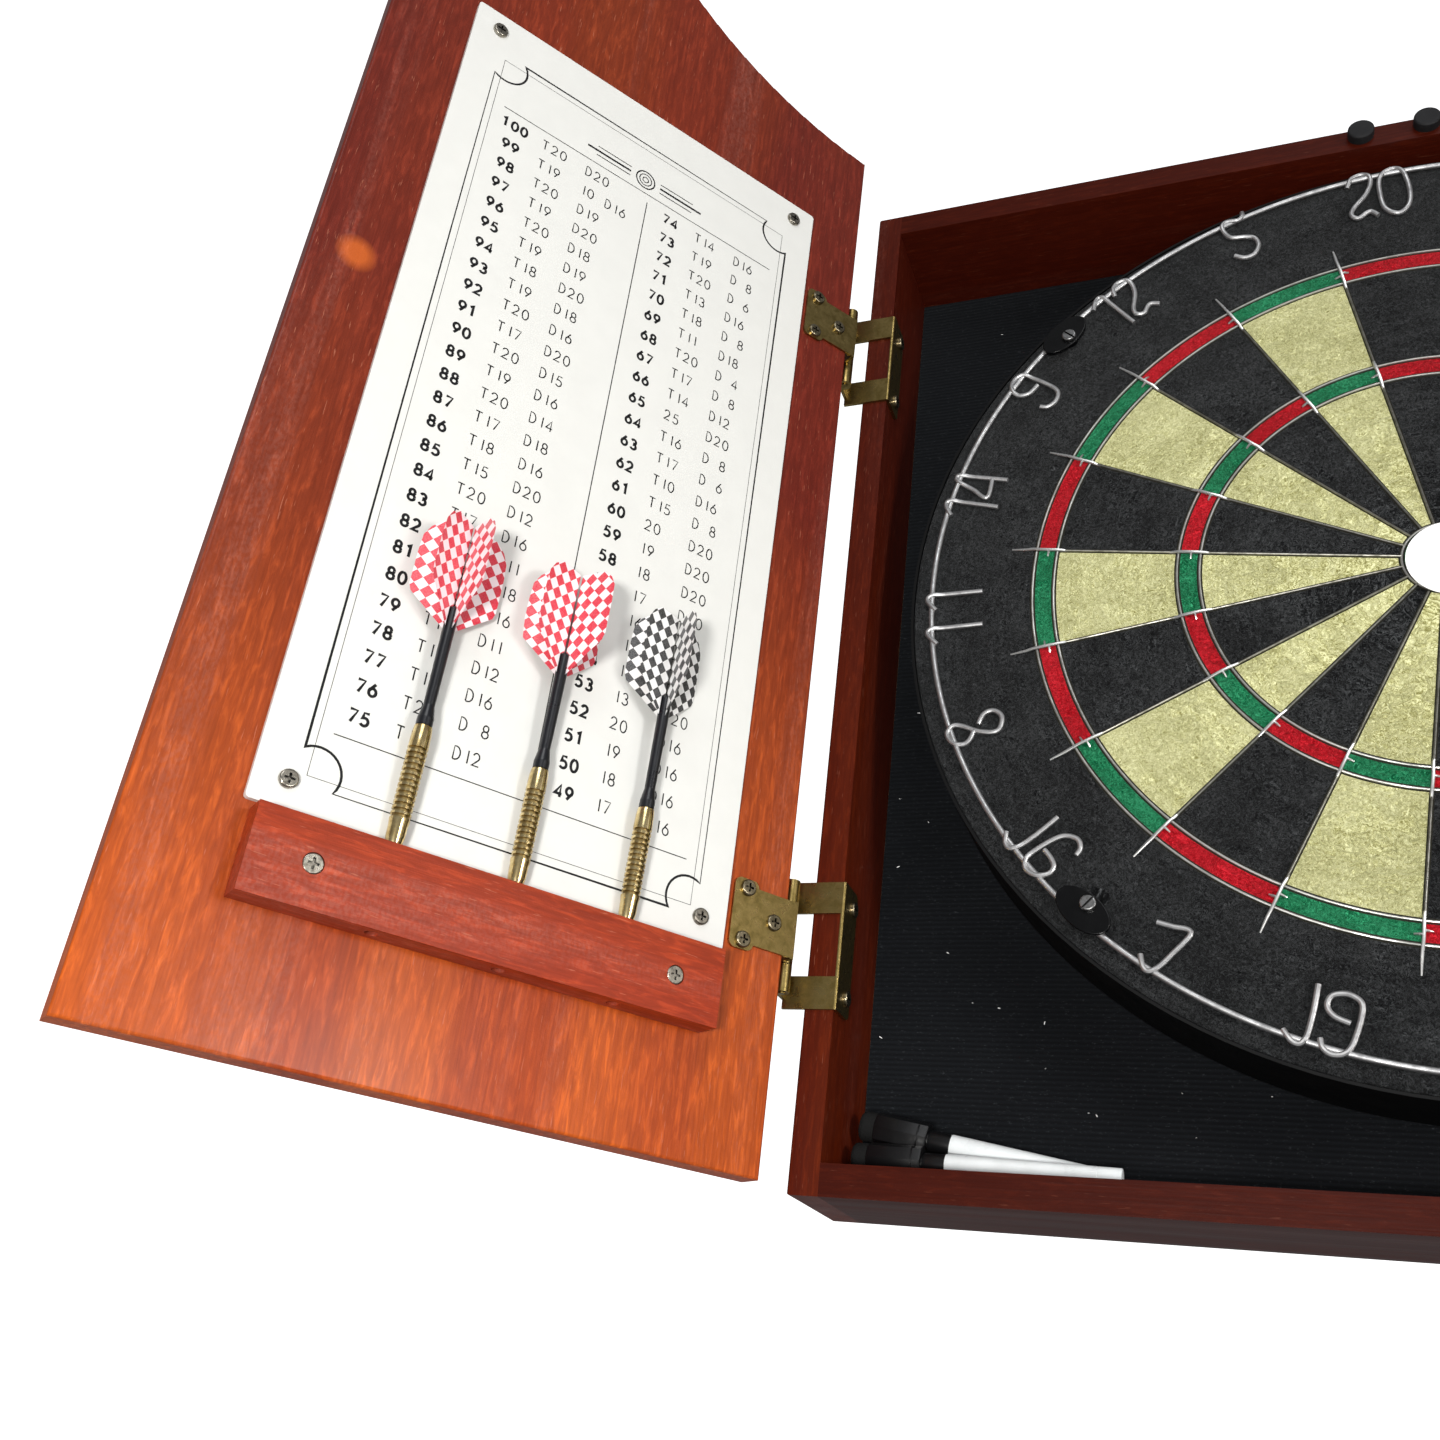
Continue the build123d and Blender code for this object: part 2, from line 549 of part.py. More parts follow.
LEAF_SCREWS = ((21.2, 10.8), (21.2, -10.8), (7.2, 0))
door_leaves = []
leaf_screws = []
for hinge_z in HINGE_Z:
    up = hinge_z - DOOR_BOTTOM
    with BuildPart() as door_leaf:
        with BuildSketch(on_door(0, up, 0)):
            with Locations((-sum(DOOR_LEAF) / 2, 0)):
                RectangleRounded(DOOR_LEAF[1] - DOOR_LEAF[0], DOOR_LEAF_HEIGHT, 3.0)
            with Locations((-sum(DOOR_LEAF_NECK) / 2, 0)):
                Rectangle(DOOR_LEAF_NECK[1] - DOOR_LEAF_NECK[0], DOOR_LEAF_NECK_HEIGHT)
            with Locations(*[(-across, z) for across, z in LEAF_SCREWS]):
                Circle(SCREW_HOLE, mode=Mode.SUBTRACT)
        extrude(amount=LEAF_THICK)
        knuckle_base = Plane(origin=door.from_local_coords((-EDGE_X, up - KNUCKLE_SPLIT, FACE_Y)),
                             x_dir=door.x_dir, z_dir=(0, 0, 1))
        with BuildSketch(knuckle_base):
            Circle(KNUCKLE_RADIUS)
            with Locations((KNUCKLE_RADIUS - 0.75, (FACE_Y + LEAF_THICK) / 2)):
                Rectangle(1.5, FACE_Y + LEAF_THICK)
            Circle(PIN_RADIUS + PIN_FIT, mode=Mode.SUBTRACT)
        extrude(amount=2 * KNUCKLE_SPLIT)
    door_leaves.append(door_leaf.part)
    for across, z in LEAF_SCREWS:
        seat = on_door(across, up + z, LEAF_THICK)
        leaf_screws.append(screw(seat, SCREW_HEAD, 1.5, SCREW_SHANK, LEAF_THICK))
save_pair(gather(door_leaves), "hinge_door_leaves_left", "hinge_door_leaves_right")
save_pair(gather(leaf_screws), "hinge_leaf_screws_left", "hinge_leaf_screws_right")

knob_seat = Plane(origin=door.from_local_coords((KNOB_SIDE, KNOB_HEIGHT, STOCK)),
                  x_dir=door.x_dir, z_dir=-door.y_dir)
with BuildPart() as knob:
    with BuildSketch(knob_seat):
        with BuildLine():
            Polyline((0, 0), (8, 0), (8, 1.6), (4.6, 3.2), (4.2, 8))
            Spline((4.2, 8), (11, 14.5), (9.5, 19.5), (0, 22), tangents=((0.2, 1), (-1, 0)))
            Line((0, 22), (0, 0))
        make_face()
    revolve(axis=Axis(knob_seat.origin, door.z_dir))
save_pair(knob.part, "knob_left", "knob_right")

# ---------------------------------------------------------------- darts
TILT = math.radians(DART_TILT)
inward = -door.z_dir
dart_up = Vector(0, 0, 1) * math.cos(TILT) + inward * math.sin(TILT)
SLOT_DEPTH = 9.0                 # how far the flight sits down in the shaft
COLLAR_RADIUS = 3.0
for number, place in enumerate(DART_PLACES, start=1):
    seat = door.from_local_coords((place, HOLDER_TOP + 0.3, -DART_OFFSET))
    profile = Plane(origin=seat, x_dir=door.x_dir, z_dir=door.x_dir.cross(dart_up))
    lathe = Axis(seat, dart_up)
    with BuildPart() as point:
        with BuildSketch(profile):
            with BuildLine():
                Polyline((0, -POINT_LENGTH), (0.25, -POINT_LENGTH), (POINT_RADIUS, 3 - POINT_LENGTH),
                         (POINT_RADIUS, 0), (0, 0), (0, -POINT_LENGTH))
            make_face()
        revolve(axis=lathe)
    save(point.part, f"dart_{number}_point")
    with BuildPart() as barrel:
        with BuildSketch(profile):
            with BuildLine():
                Polyline((0, 0), (BARREL_RADIUS - 0.8, 0), (BARREL_RADIUS, 2.4),
                         (BARREL_RADIUS, BARREL_LENGTH - 2), (BARREL_RADIUS - 0.8, BARREL_LENGTH),
                         (0, BARREL_LENGTH), (0, 0))
            make_face()
        revolve(axis=lathe)
    save(barrel.part, f"dart_{number}_barrel")
    shaft_top = BARREL_LENGTH + SHAFT_LENGTH
    lean = dart_up.cross(door.x_dir)
    fin_ways = []
    for angle in FIN_ANGLES[number - 1]:
        turn = math.radians(angle)
        fin_ways.append(door.x_dir * math.cos(turn) + lean * math.sin(turn))
    with BuildPart() as shaft:
        with BuildSketch(profile):
            with BuildLine():
                Polyline((0, BARREL_LENGTH), (COLLAR_RADIUS, BARREL_LENGTH),
                         (COLLAR_RADIUS, BARREL_LENGTH + 3), (SHAFT_RADIUS - 0.2, BARREL_LENGTH + 8),
                         (SHAFT_RADIUS, shaft_top - SLOT_DEPTH - 3), (SHAFT_RADIUS, shaft_top - 1),
                         (SHAFT_RADIUS - 0.6, shaft_top), (0, shaft_top), (0, BARREL_LENGTH))
            make_face()
        revolve(axis=lathe)
        for way in fin_ways:
            slot_floor = Plane(origin=seat + dart_up * (shaft_top - SLOT_DEPTH), x_dir=way, z_dir=dart_up)
            with BuildSketch(slot_floor):
                with Locations((3, 0)):
                    Rectangle(6.6, FLIGHT_THICK + 0.2)
            extrude(amount=SLOT_DEPTH + 1, mode=Mode.SUBTRACT)
    save(shaft.part, f"dart_{number}_shaft")
    flight_foot = seat + dart_up * (shaft_top - SLOT_DEPTH + 0.2)
    with BuildPart() as flight:
        for way in fin_ways:
            with BuildSketch(Plane(origin=flight_foot, x_dir=way, z_dir=way.cross(dart_up))):
                with BuildLine():
                    Polyline((0, 0), (2, 0), (FLIGHT_HALF - 1, 13), (FLIGHT_HALF, 16),
                             (FLIGHT_HALF, FLIGHT_LENGTH - 7), (FLIGHT_HALF - 6, FLIGHT_LENGTH),
                             (0, FLIGHT_LENGTH), (0, 0))
                make_face()
            extrude(amount=FLIGHT_THICK / 2, both=True)
    save(flight.part, f"dart_{number}_flight")

# ---------------------------------------------------------------- marker pens
# pen 1 lies on the bottom panel; pen 2 rests its cap on pen 1's and its tail behind pen 1
PEN_REST = 0.3 - INNER_Z
PEN_X = -239.0
PEN_SLOPE = (PEN_CAP_RADIUS - PEN_RADIUS) / (PEN_LENGTH - PEN_CAP_LENGTH)
PEN_2_RISE = 22.6                # middle of the leaning cap's end above the panel
pen_1_foot = Vector(PEN_X, -31.0, PEN_REST + PEN_CAP_RADIUS + PEN_SLOPE * PEN_CAP_LENGTH)
pen_1_way = Vector(1, 0, -PEN_SLOPE).normalized()
pen_2_foot = Vector(PEN_X, -23.0, PEN_REST + PEN_2_RISE)
pen_2_way = Vector(PEN_LENGTH, 4.0, PEN_RADIUS - PEN_2_RISE).normalized()
for number, (foot, way) in enumerate(((pen_1_foot, pen_1_way), (pen_2_foot, pen_2_way)), start=1):
    profile = Plane(origin=foot, x_dir=way, z_dir=way.cross(Vector(0, 0, 1)))
    lathe = Axis(foot, way)
    with BuildPart() as pen_cap:
        with BuildSketch(profile):
            with BuildLine():
                Polyline((0, 0), (0, 5.0), (1.2, 6.2), (6.5, 6.2), (6.5, PEN_CAP_RADIUS),
                         (PEN_CAP_LENGTH, PEN_CAP_RADIUS), (PEN_CAP_LENGTH, PEN_CAP_BORE),
                         (12, PEN_CAP_BORE), (12, 0), (0, 0))
            make_face()
        revolve(axis=lathe)
    save(pen_cap.part, f"pen_{number}_cap")
    neck_start = PEN_CAP_LENGTH + 0.4
    with BuildPart() as pen_barrel:
        with BuildSketch(profile):
            with BuildLine():
                Polyline((14, 0), (14, 1.4), (17, 2.0), (19, PEN_NIB_RADIUS),
                         (neck_start, PEN_NIB_RADIUS), (neck_start, PEN_RADIUS - 0.2),
                         (PEN_CAP_LENGTH + PEN_NECK, PEN_RADIUS - 0.2),
                         (PEN_CAP_LENGTH + PEN_NECK, PEN_RADIUS),
                         (PEN_LENGTH - 0.4, PEN_RADIUS), (PEN_LENGTH, PEN_RADIUS - 0.4),
                         (PEN_LENGTH, 0), (14, 0))
            make_face()
        revolve(axis=lathe)
    save(pen_barrel.part, f"pen_{number}_barrel")
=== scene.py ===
"""Looks for the dart board cabinet: wood, brass, bristle, wires, numerals, print and darts
round the fixed frame.  Lengths are metres in the row frame unless a name says mm."""
import json
import math
import random

import bmesh
import bpy
import numpy as np
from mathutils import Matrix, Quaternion, Vector


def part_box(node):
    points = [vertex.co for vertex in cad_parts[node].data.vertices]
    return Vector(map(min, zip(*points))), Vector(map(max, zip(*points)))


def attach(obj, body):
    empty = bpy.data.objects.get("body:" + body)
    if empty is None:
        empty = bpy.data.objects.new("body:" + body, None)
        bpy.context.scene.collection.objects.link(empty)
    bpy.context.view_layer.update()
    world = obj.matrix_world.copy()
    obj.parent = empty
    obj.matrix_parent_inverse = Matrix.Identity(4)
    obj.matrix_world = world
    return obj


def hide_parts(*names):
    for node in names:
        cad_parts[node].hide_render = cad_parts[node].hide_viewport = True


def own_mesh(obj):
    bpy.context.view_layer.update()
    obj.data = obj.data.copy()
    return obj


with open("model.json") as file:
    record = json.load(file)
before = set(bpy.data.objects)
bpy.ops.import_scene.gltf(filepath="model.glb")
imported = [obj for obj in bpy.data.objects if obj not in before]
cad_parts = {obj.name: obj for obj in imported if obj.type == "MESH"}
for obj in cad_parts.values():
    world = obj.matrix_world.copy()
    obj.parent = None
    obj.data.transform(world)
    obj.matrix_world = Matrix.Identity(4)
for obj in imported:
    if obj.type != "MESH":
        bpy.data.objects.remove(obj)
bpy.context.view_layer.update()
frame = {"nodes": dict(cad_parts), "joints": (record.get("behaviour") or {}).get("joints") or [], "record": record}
nodes = frame["nodes"]
MM = 0.001


# ---------------------------------------------------------------- places taken from the frame
def reach(node, way):
    """How far a node goes along a direction: (lowest, highest)."""
    co = np.array([v.co for v in nodes[node].data.vertices])
    along = co @ np.array(way)
    return float(along.min()), float(along.max())


def hinge_corner(node):
    """The lower corner of a left door node at its hinge edge, on the inner face."""
    return (ACROSS * reach(node, ACROSS)[0] + INWARD * reach(node, INWARD)[1]
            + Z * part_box(node)[0].z)


def centre_of(node):
    low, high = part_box(node)
    return (low + high) / 2


joints = {j["name"]: j for j in frame["joints"]}
OPEN = math.radians(joints["left_door_hinge"]["range_deg"][1])
Z = Vector((0, 0, 1))
ACROSS = Vector((math.cos(OPEN), -math.sin(OPEN), 0))       # left door, hinge edge to free edge
INWARD = Vector((math.sin(OPEN), math.cos(OPEN), 0))        # left door, off its inner face
RIGHT_ACROSS = Vector((-ACROSS.x, ACROSS.y, 0))
RIGHT_INWARD = Vector((-INWARD.x, INWARD.y, 0))

BOARD = centre_of("sisal_disc")
FACE_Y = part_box("sisal_disc")[0].y
DISC_RADIUS = (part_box("sisal_disc")[1].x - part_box("sisal_disc")[0].x) / 2
RING = centre_of("number_ring")
RING_RADIUS = (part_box("number_ring")[1].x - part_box("number_ring")[0].x) / 2
RING_WIRE = (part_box("number_ring")[1].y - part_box("number_ring")[0].y) / 2
RING_RADIUS -= RING_WIRE


# ---------------------------------------------------------------- materials
class Paint:
    """A node material on the Principled shader, built a node at a time."""

    def __init__(self, name, turn=0.0, **sockets):
        self.material = bpy.data.materials.new(name)
        self.material.use_nodes = True
        self.tree = self.material.node_tree
        self.shader = self.tree.nodes["Principled BSDF"]
        for socket, value in sockets.items():
            self.shader.inputs[socket.replace("_", " ")].default_value = value
        self.here = self.add("ShaderNodeTexCoord").outputs["Object"]
        if turn:
            turned = self.add("ShaderNodeMapping", {"Vector": self.here, "Rotation": (0, 0, turn)})
            self.here = turned.outputs[0]

    def add(self, kind, inputs=None, **settings):
        node = self.tree.nodes.new(kind)
        for key, value in settings.items():
            setattr(node, key, value)
        for key, value in (inputs or {}).items():
            if isinstance(value, bpy.types.NodeSocket):
                self.tree.links.new(value, node.inputs[key])
            else:
                node.inputs[key].default_value = value
        return node

    def stretch(self, scale, start=None):
        return self.add("ShaderNodeMapping", {"Vector": start or self.here, "Scale": scale}).outputs[0]

    def noise(self, vector, scale=1.0, detail=3.0, rough=0.5, warp=0.0):
        return self.add("ShaderNodeTexNoise", {"Vector": vector, "Scale": scale, "Detail": detail,
                                               "Roughness": rough, "Distortion": warp}).outputs["Fac"]

    def ramp(self, fac, *stops):
        node = self.add("ShaderNodeValToRGB", {"Fac": fac})
        elements = node.color_ramp.elements
        for index, (place, colour) in enumerate(stops):
            element = elements[index] if index < 2 else elements.new(place)
            element.position = place
            element.color = (*colour, 1) if len(colour) == 3 else colour
        return node.outputs["Color"]

    def level(self, fac, low, high, out_low=0.0, out_high=1.0):
        return self.add("ShaderNodeMapRange", {"Value": fac, "From Min": low, "From Max": high,
                                               "To Min": out_low, "To Max": out_high}).outputs[0]

    def calc(self, how, a, b):
        return self.add("ShaderNodeMath", {0: a, 1: b}, operation=how).outputs[0]

    def mix(self, fac, a, b, how="MIX"):
        node = self.add("ShaderNodeMix", data_type="RGBA", blend_type=how)
        for socket, value in ((node.inputs["Factor"], fac), (node.inputs[6], a), (node.inputs[7], b)):
            if isinstance(value, bpy.types.NodeSocket):
                self.tree.links.new(value, socket)
            elif isinstance(value, tuple):
                socket.default_value = (*value, 1)
            else:
                socket.default_value = value
        return node.outputs[2]

    def part(self, axis):
        return self.add("ShaderNodeSeparateXYZ", {"Vector": self.here}).outputs[axis]

    def colour(self, socket):
        self.tree.links.new(socket, self.shader.inputs["Base Color"])

    def rough(self, socket):
        self.tree.links.new(socket, self.shader.inputs["Roughness"])

    def bump(self, height, distance):
        """A bump of that real height, in metres."""
        node = self.add("ShaderNodeBump", {"Height": height, "Distance": distance, "Strength": 1.0})
        before = self.shader.inputs["Normal"].links
        if before:
            self.tree.links.new(before[0].from_socket, node.inputs["Normal"])
        self.tree.links.new(node.outputs[0], self.shader.inputs["Normal"])


def tinted(colour, *factors):
    return tuple(c * f for c, f in zip(colour, factors))


def wood(name, grain, dark, middle, light, low=None, high=None, lit_tone=(0.42, 0.085, 0.018), turn=0.0,
         haze=0.3, plug=None, gloss=0.22, coat=0.2, fleck=0.42):
    """Mahogany stain under satin lacquer.  grain is the axis the grain runs along; between the
    heights low and high the colour goes from painted light, a brighter orange lower down, to the full dark stain."""
    paint = Paint(name, turn, Coat_Weight=coat, Coat_Roughness=0.2, Coat_IOR=1.45, IOR=1.45,
                  Specular_IOR_Level=gloss)
    axis = "xyz".index(grain)

    def along(across, length):
        return paint.stretch(tuple(length if i == axis else across for i in range(3)))

    bands = paint.noise(along(15, 0.55), detail=2, rough=0.45, warp=0.5)
    streaks = paint.noise(along(52, 1.8), detail=7, rough=0.62, warp=0.5)
    lines = paint.noise(along(820, 17), detail=4, rough=0.62)
    figure = paint.noise(along(420, 75), detail=3, rough=0.62, warp=0.6)
    pores = paint.noise(along(1400, 120), detail=2)
    body = paint.mix(paint.level(streaks, 0.25, 0.75), dark, light)
    body = paint.mix(paint.level(bands, 0.4, 0.6), body, middle)
    # painted light: from the height high down to low the colour turns to a brighter orange, the light falling on
    # the lower part painted into the stain
    if low is not None:
        height = paint.level(paint.part("Z"), low, high)
        wander = paint.level(paint.noise(along(8, 2.0), detail=2), 0.3, 0.7, -0.2, 0.2)
        painted_light_share = paint.level(paint.calc("ADD", height, wander), 0.0, 1.0, 1.0, 0.0)
        painted_glow = paint.mix(paint.level(bands, 0.42, 0.58), tinted(lit_tone, 0.84, 0.72, 0.8),
                         tinted(lit_tone, 1.1, 1.18, 1.05))
        body = paint.mix(painted_light_share, body, painted_glow)
    patches = paint.level(paint.noise(along(34, 1.3), detail=3, warp=0.7), 0.55, 0.68)
    speckle = paint.level(paint.noise(paint.stretch((800, 800, 500)), detail=3), 0.4, 0.6, 0.25, 1.0)
    bloom = paint.calc("MULTIPLY", patches, speckle)
    body = paint.mix(paint.calc("MULTIPLY", bloom, haze), body, (0.36, 0.15, 0.12))
    body = paint.mix(paint.level(figure, 0.3, 0.7, 0.3, 0.0), body, (0.03, 0.004, 0.002))
    body = paint.mix(paint.level(figure, 0.5, 0.72, 0.0, 0.34), body,
                     paint.mix(1.0, body, (1.9, 2.3, 2.3), "MULTIPLY"))
    body = paint.mix(paint.level(lines, 0.4, 0.62, 0.0, 0.34), body,
                     paint.mix(1.0, body, (0.5, 0.36, 0.33), "MULTIPLY"))
    body = paint.mix(paint.level(pores, 0.68, 0.74, 0.0, fleck), body, (0.48, 0.17, 0.1))
    if plug:
        away = paint.add("ShaderNodeVectorMath", {0: paint.here, 1: plug}, operation="DISTANCE")
        near = paint.level(away.outputs["Value"], 0.004, 0.009, 0.6, 0.0)
        body = paint.mix(near, body, (0.62, 0.13, 0.02))
    paint.colour(body)
    paint.rough(paint.level(streaks, 0.3, 0.7, 0.34, 0.48))
    paint.bump(lines, 0.00008)
    paint.bump(paint.noise(paint.stretch((1300, 1300, 1300)), detail=2), 0.00003)
    return paint.material


def cloth_black():
    paint = Paint("felt_black", Sheen_Weight=0.08, Sheen_Roughness=0.5, Roughness=0.95,
                  Specular_IOR_Level=0.1)
    paint.shader.inputs["Sheen Tint"].default_value = (0.35, 0.38, 0.42, 1)
    ribs = paint.add("ShaderNodeTexWave", {"Vector": paint.stretch((0, 0, 1)), "Scale": 143.0,
                                          "Distortion": 0.0}, bands_direction="Z").outputs["Fac"]
    fluff = paint.noise(paint.stretch((0.5, 1, 1.3)), 1100, 4, 0.7)
    cloud = paint.noise(paint.here, 14, 3, 0.6)
    base = paint.ramp(cloud, (0.3, (0.0045, 0.0053, 0.0065)), (0.75, (0.0078, 0.009, 0.0108)))
    base = paint.mix(paint.level(ribs, 0.1, 0.9, 0.0, 0.6), base, (0.0022, 0.0025, 0.003))
    base = paint.mix(paint.level(fluff, 0.6, 0.78, 0.0, 0.75), base, (0.05, 0.055, 0.06))
    paint.colour(base)
    paint.bump(ribs, 0.00025)
    paint.bump(fluff, 0.0002)
    return paint.material


def bristle(name, dark, middle, light, depth=0.0006, span=(0.42, 0.5, 0.58)):
    """Compressed sisal: short fibre ends lying over each other in soft swirls."""
    paint = Paint(name, Roughness=0.95, Specular_IOR_Level=0.08, Sheen_Weight=0.03)
    swirl = paint.noise(paint.here, 40, 4, 0.6)
    lean = paint.add("ShaderNodeVectorRotate", {"Vector": paint.here, "Axis": (0, 1, 0),
                                                 "Angle": paint.level(swirl, 0.3, 0.7, -2.6, 2.6)})
    fibres = paint.noise(paint.stretch((1, 1, 0.22), lean.outputs[0]), 900, 3, 0.55, 0.5)
    tufts = paint.noise(paint.here, 800, 3, 0.65, 1.2)
    cloud = paint.noise(paint.here, 45, 3, 0.6)
    mixed = paint.calc("ADD", paint.calc("MULTIPLY", fibres, 0.6), paint.calc("MULTIPLY", tufts, 0.3))
    mixed = paint.calc("ADD", mixed, paint.calc("MULTIPLY", cloud, 0.1))
    paint.colour(paint.ramp(mixed, (span[0], dark), (span[2], light), (span[1], middle)))
    paint.bump(mixed, depth)
    return paint.material


def metal(name, dark, light, roughness=0.3, scale=500, shade_recesses=False):
    paint = Paint(name, Metallic=1.0)
    mottle = paint.noise(paint.here, scale, 4, 0.62, 0.3)
    colour = paint.ramp(mottle, (0.36, dark), (0.64, light))
    if shade_recesses:
        # painted shade: where ambient occlusion finds a recess, such as the cross in a screw head, the colour goes
        # nearly black
        occlusion_for_shade = paint.add("ShaderNodeAmbientOcclusion", {"Distance": 0.0016}, only_local=True)
        colour = paint.mix(paint.level(occlusion_for_shade.outputs["AO"], 0.35, 0.85), (0.006, 0.006, 0.006), colour)
    paint.colour(colour)
    paint.rough(paint.level(mottle, 0.3, 0.7, roughness * 1.3, roughness * 0.75))
    paint.bump(mottle, 0.00002)
    return paint.material


def plastic(name, colour, roughness=0.4, grain=0.00001, scale=2500, sheen=1.12, **sockets):
    paint = Paint(name, **sockets)
    fine = paint.noise(paint.here, scale, 3, 0.6)
    wear = paint.noise(paint.here, 90, 3, 0.6)
    paint.colour(paint.ramp(wear, (0.3, tuple(c / sheen for c in colour)), (0.7, colour)))
    paint.rough(paint.level(wear, 0.3, 0.7, roughness * 0.85, roughness * 1.15))
    paint.bump(fine, grain)
    return paint.material


def raw_board(name, dark, light, grain):
    paint = Paint(name, Roughness=0.85)
    chips = paint.noise(paint.stretch(grain), 1.0, 5, 0.65, 0.5)
    paint.colour(paint.ramp(chips, (0.35, dark), (0.65, light)))
    paint.bump(chips, 0.0002)
    return paint.material


def checks(name, colour, pale):
    """Printed film: squares set on their corners, in the flight's own flat coordinates."""
    paint = Paint(name, Roughness=0.34, Specular_IOR_Level=0.45, Coat_Weight=0.2, Coat_Roughness=0.2)
    flat = paint.add("ShaderNodeUVMap", uv_map="film").outputs[0]
    grid = paint.add("ShaderNodeTexChecker", {"Vector": flat, "Scale": 1.0,
                                             "Color1": (*colour, 1), "Color2": (*pale, 1)}).outputs["Color"]
    ink = paint.noise(paint.here, 1800, 2, 0.5)
    paint.colour(paint.mix(paint.level(ink, 0.3, 0.7, 0.0, 0.12), grid, pale))
    paint.bump(ink, 0.00001)
    return paint.material


# the case and door woods carry painted light: a brighter orange towards the bottom
CASE_WOOD = wood("wood_case_z", "z", (0.04, 0.0045, 0.0018), (0.06, 0.0068, 0.0024), (0.085, 0.0095, 0.003),
                 -0.3, 0.12, (0.098, 0.0108, 0.0018), haze=0.08, gloss=0.1, coat=0.1, fleck=0.2)
RAIL_WOOD = wood("wood_case_x", "x", (0.03, 0.0034, 0.0013), (0.045, 0.005, 0.0016),
                 (0.066, 0.0075, 0.0024), haze=0.03, gloss=0.08, coat=0.05, fleck=0.08)
PLUG_AT = tuple(hinge_corner("door_panel_left") + ACROSS * 0.237 + Z * 0.31)
DOOR_WOOD = wood("wood_door", "z", (0.1, 0.0115, 0.0065), (0.14, 0.0165, 0.009), (0.19, 0.023, 0.0105),
                 -0.27, 0.06, (0.47, 0.08, 0.0095), haze=0.22, coat=0.12, gloss=0.18, plug=PLUG_AT)
HOLDER_STAIN = {"dark": (0.23, 0.021, 0.0055), "middle": (0.33, 0.036, 0.009), "light": (0.45, 0.06, 0.013),
                "haze": 0.3, "coat": 0.12, "gloss": 0.18}
HOLDER_LEFT = wood("wood_holder_left", "x", turn=OPEN, **HOLDER_STAIN)
HOLDER_RIGHT = wood("wood_holder_right", "x", turn=math.pi - OPEN, **HOLDER_STAIN)
FELT = cloth_black()
SISAL_BLACK = bristle("sisal_black", (0.0014, 0.0016, 0.0018), (0.0058, 0.0063, 0.0068),
                      (0.075, 0.079, 0.082), 0.0007, span=(0.42, 0.5, 0.62))
SISAL_CREAM = bristle("sisal_cream", (0.2, 0.19, 0.06), (0.5, 0.49, 0.225), (0.76, 0.76, 0.44))
SISAL_RED = bristle("sisal_red", (0.15, 0.0006, 0.002), (0.33, 0.0015, 0.007), (0.66, 0.022, 0.035))
SISAL_GREEN = bristle("sisal_green", (0.001, 0.05, 0.019), (0.002, 0.11, 0.04), (0.04, 0.32, 0.15))
RIM_BLACK = plastic("rim_black", (0.002, 0.0022, 0.0024), 0.6, Specular_IOR_Level=0.15)
# near-black strips beside the spider wires: painted shade
WIRE_SHADE = plastic("wire_painted_shade", (0.02, 0.019, 0.014), 0.9, Specular_IOR_Level=0.1)
ANTIQUE = metal("antique_brass", (0.2, 0.145, 0.045), (0.42, 0.31, 0.115), 0.32, 240)
# these screw and steel finishes take painted shade in their recesses
ANTIQUE_SCREW = metal("antique_screw", (0.12, 0.1, 0.06), (0.36, 0.31, 0.21), 0.3, 420, shade_recesses=True)
ZINC = metal("zinc_steel", (0.16, 0.145, 0.12), (0.44, 0.41, 0.35), 0.3, 300, shade_recesses=True)
STEEL_DARK = metal("steel_dark", (0.14, 0.14, 0.14), (0.34, 0.34, 0.34), 0.34, 420, shade_recesses=True)
# a much paler copy of the spider steel: painted highlight on the raised legs and staples
WIRE_LIT = metal("wire_lit_highlight", (0.6, 0.6, 0.58), (0.86, 0.85, 0.83), 0.3, 240)
WIRE_BED = metal("wire_bed", (0.3, 0.3, 0.28), (0.58, 0.57, 0.54), 0.46, 90)
WIRE_DULL = metal("wire_dull", (0.16, 0.155, 0.13), (0.4, 0.39, 0.35), 0.36, 240)
WIRE_RING = metal("wire_ring", (0.34, 0.34, 0.345), (0.54, 0.54, 0.54), 0.48, 200)
DART_BRASS = metal("dart_brass", (0.5, 0.36, 0.15), (0.84, 0.68, 0.36), 0.2, 260)
DART_GROOVE = metal("dart_brass_groove", (0.16, 0.11, 0.04), (0.3, 0.22, 0.09), 0.4, 260)
RUBBER = plastic("black_rubber", (0.006, 0.006, 0.007), 0.62, 0.00002, Specular_IOR_Level=0.3)
CLIP_BLACK = plastic("black_plastic", (0.0016, 0.0017, 0.002), 0.26, Specular_IOR_Level=0.22)
SHAFT_BLACK = plastic("dart_black", (0.005, 0.0055, 0.008), 0.3)
PEN_BLACK = plastic("pen_black", (0.004, 0.004, 0.0045), 0.34, Specular_IOR_Level=0.4)
ERASER = plastic("pen_eraser", (0.012, 0.012, 0.012), 0.9, 0.0002, 1200, 1.6, Specular_IOR_Level=0.1)
PEN_WHITE = plastic("pen_white", (0.83, 0.87, 0.88), 0.3)
CHART_WHITE = plastic("chart_white", (0.68, 0.68, 0.652), 0.36, 0.000006, 900, 1.03,
                      Coat_Weight=0.2, Coat_Roughness=0.25)
SCORE_WHITE = plastic("score_white", (0.83, 0.835, 0.82), 0.24, 0.000006, 900, 1.03,
                      Coat_Weight=0.4, Coat_Roughness=0.15)
STICKER = plastic("sticker_white", (0.95, 0.95, 0.945), 0.5, 0.00001, 1500, 1.02)
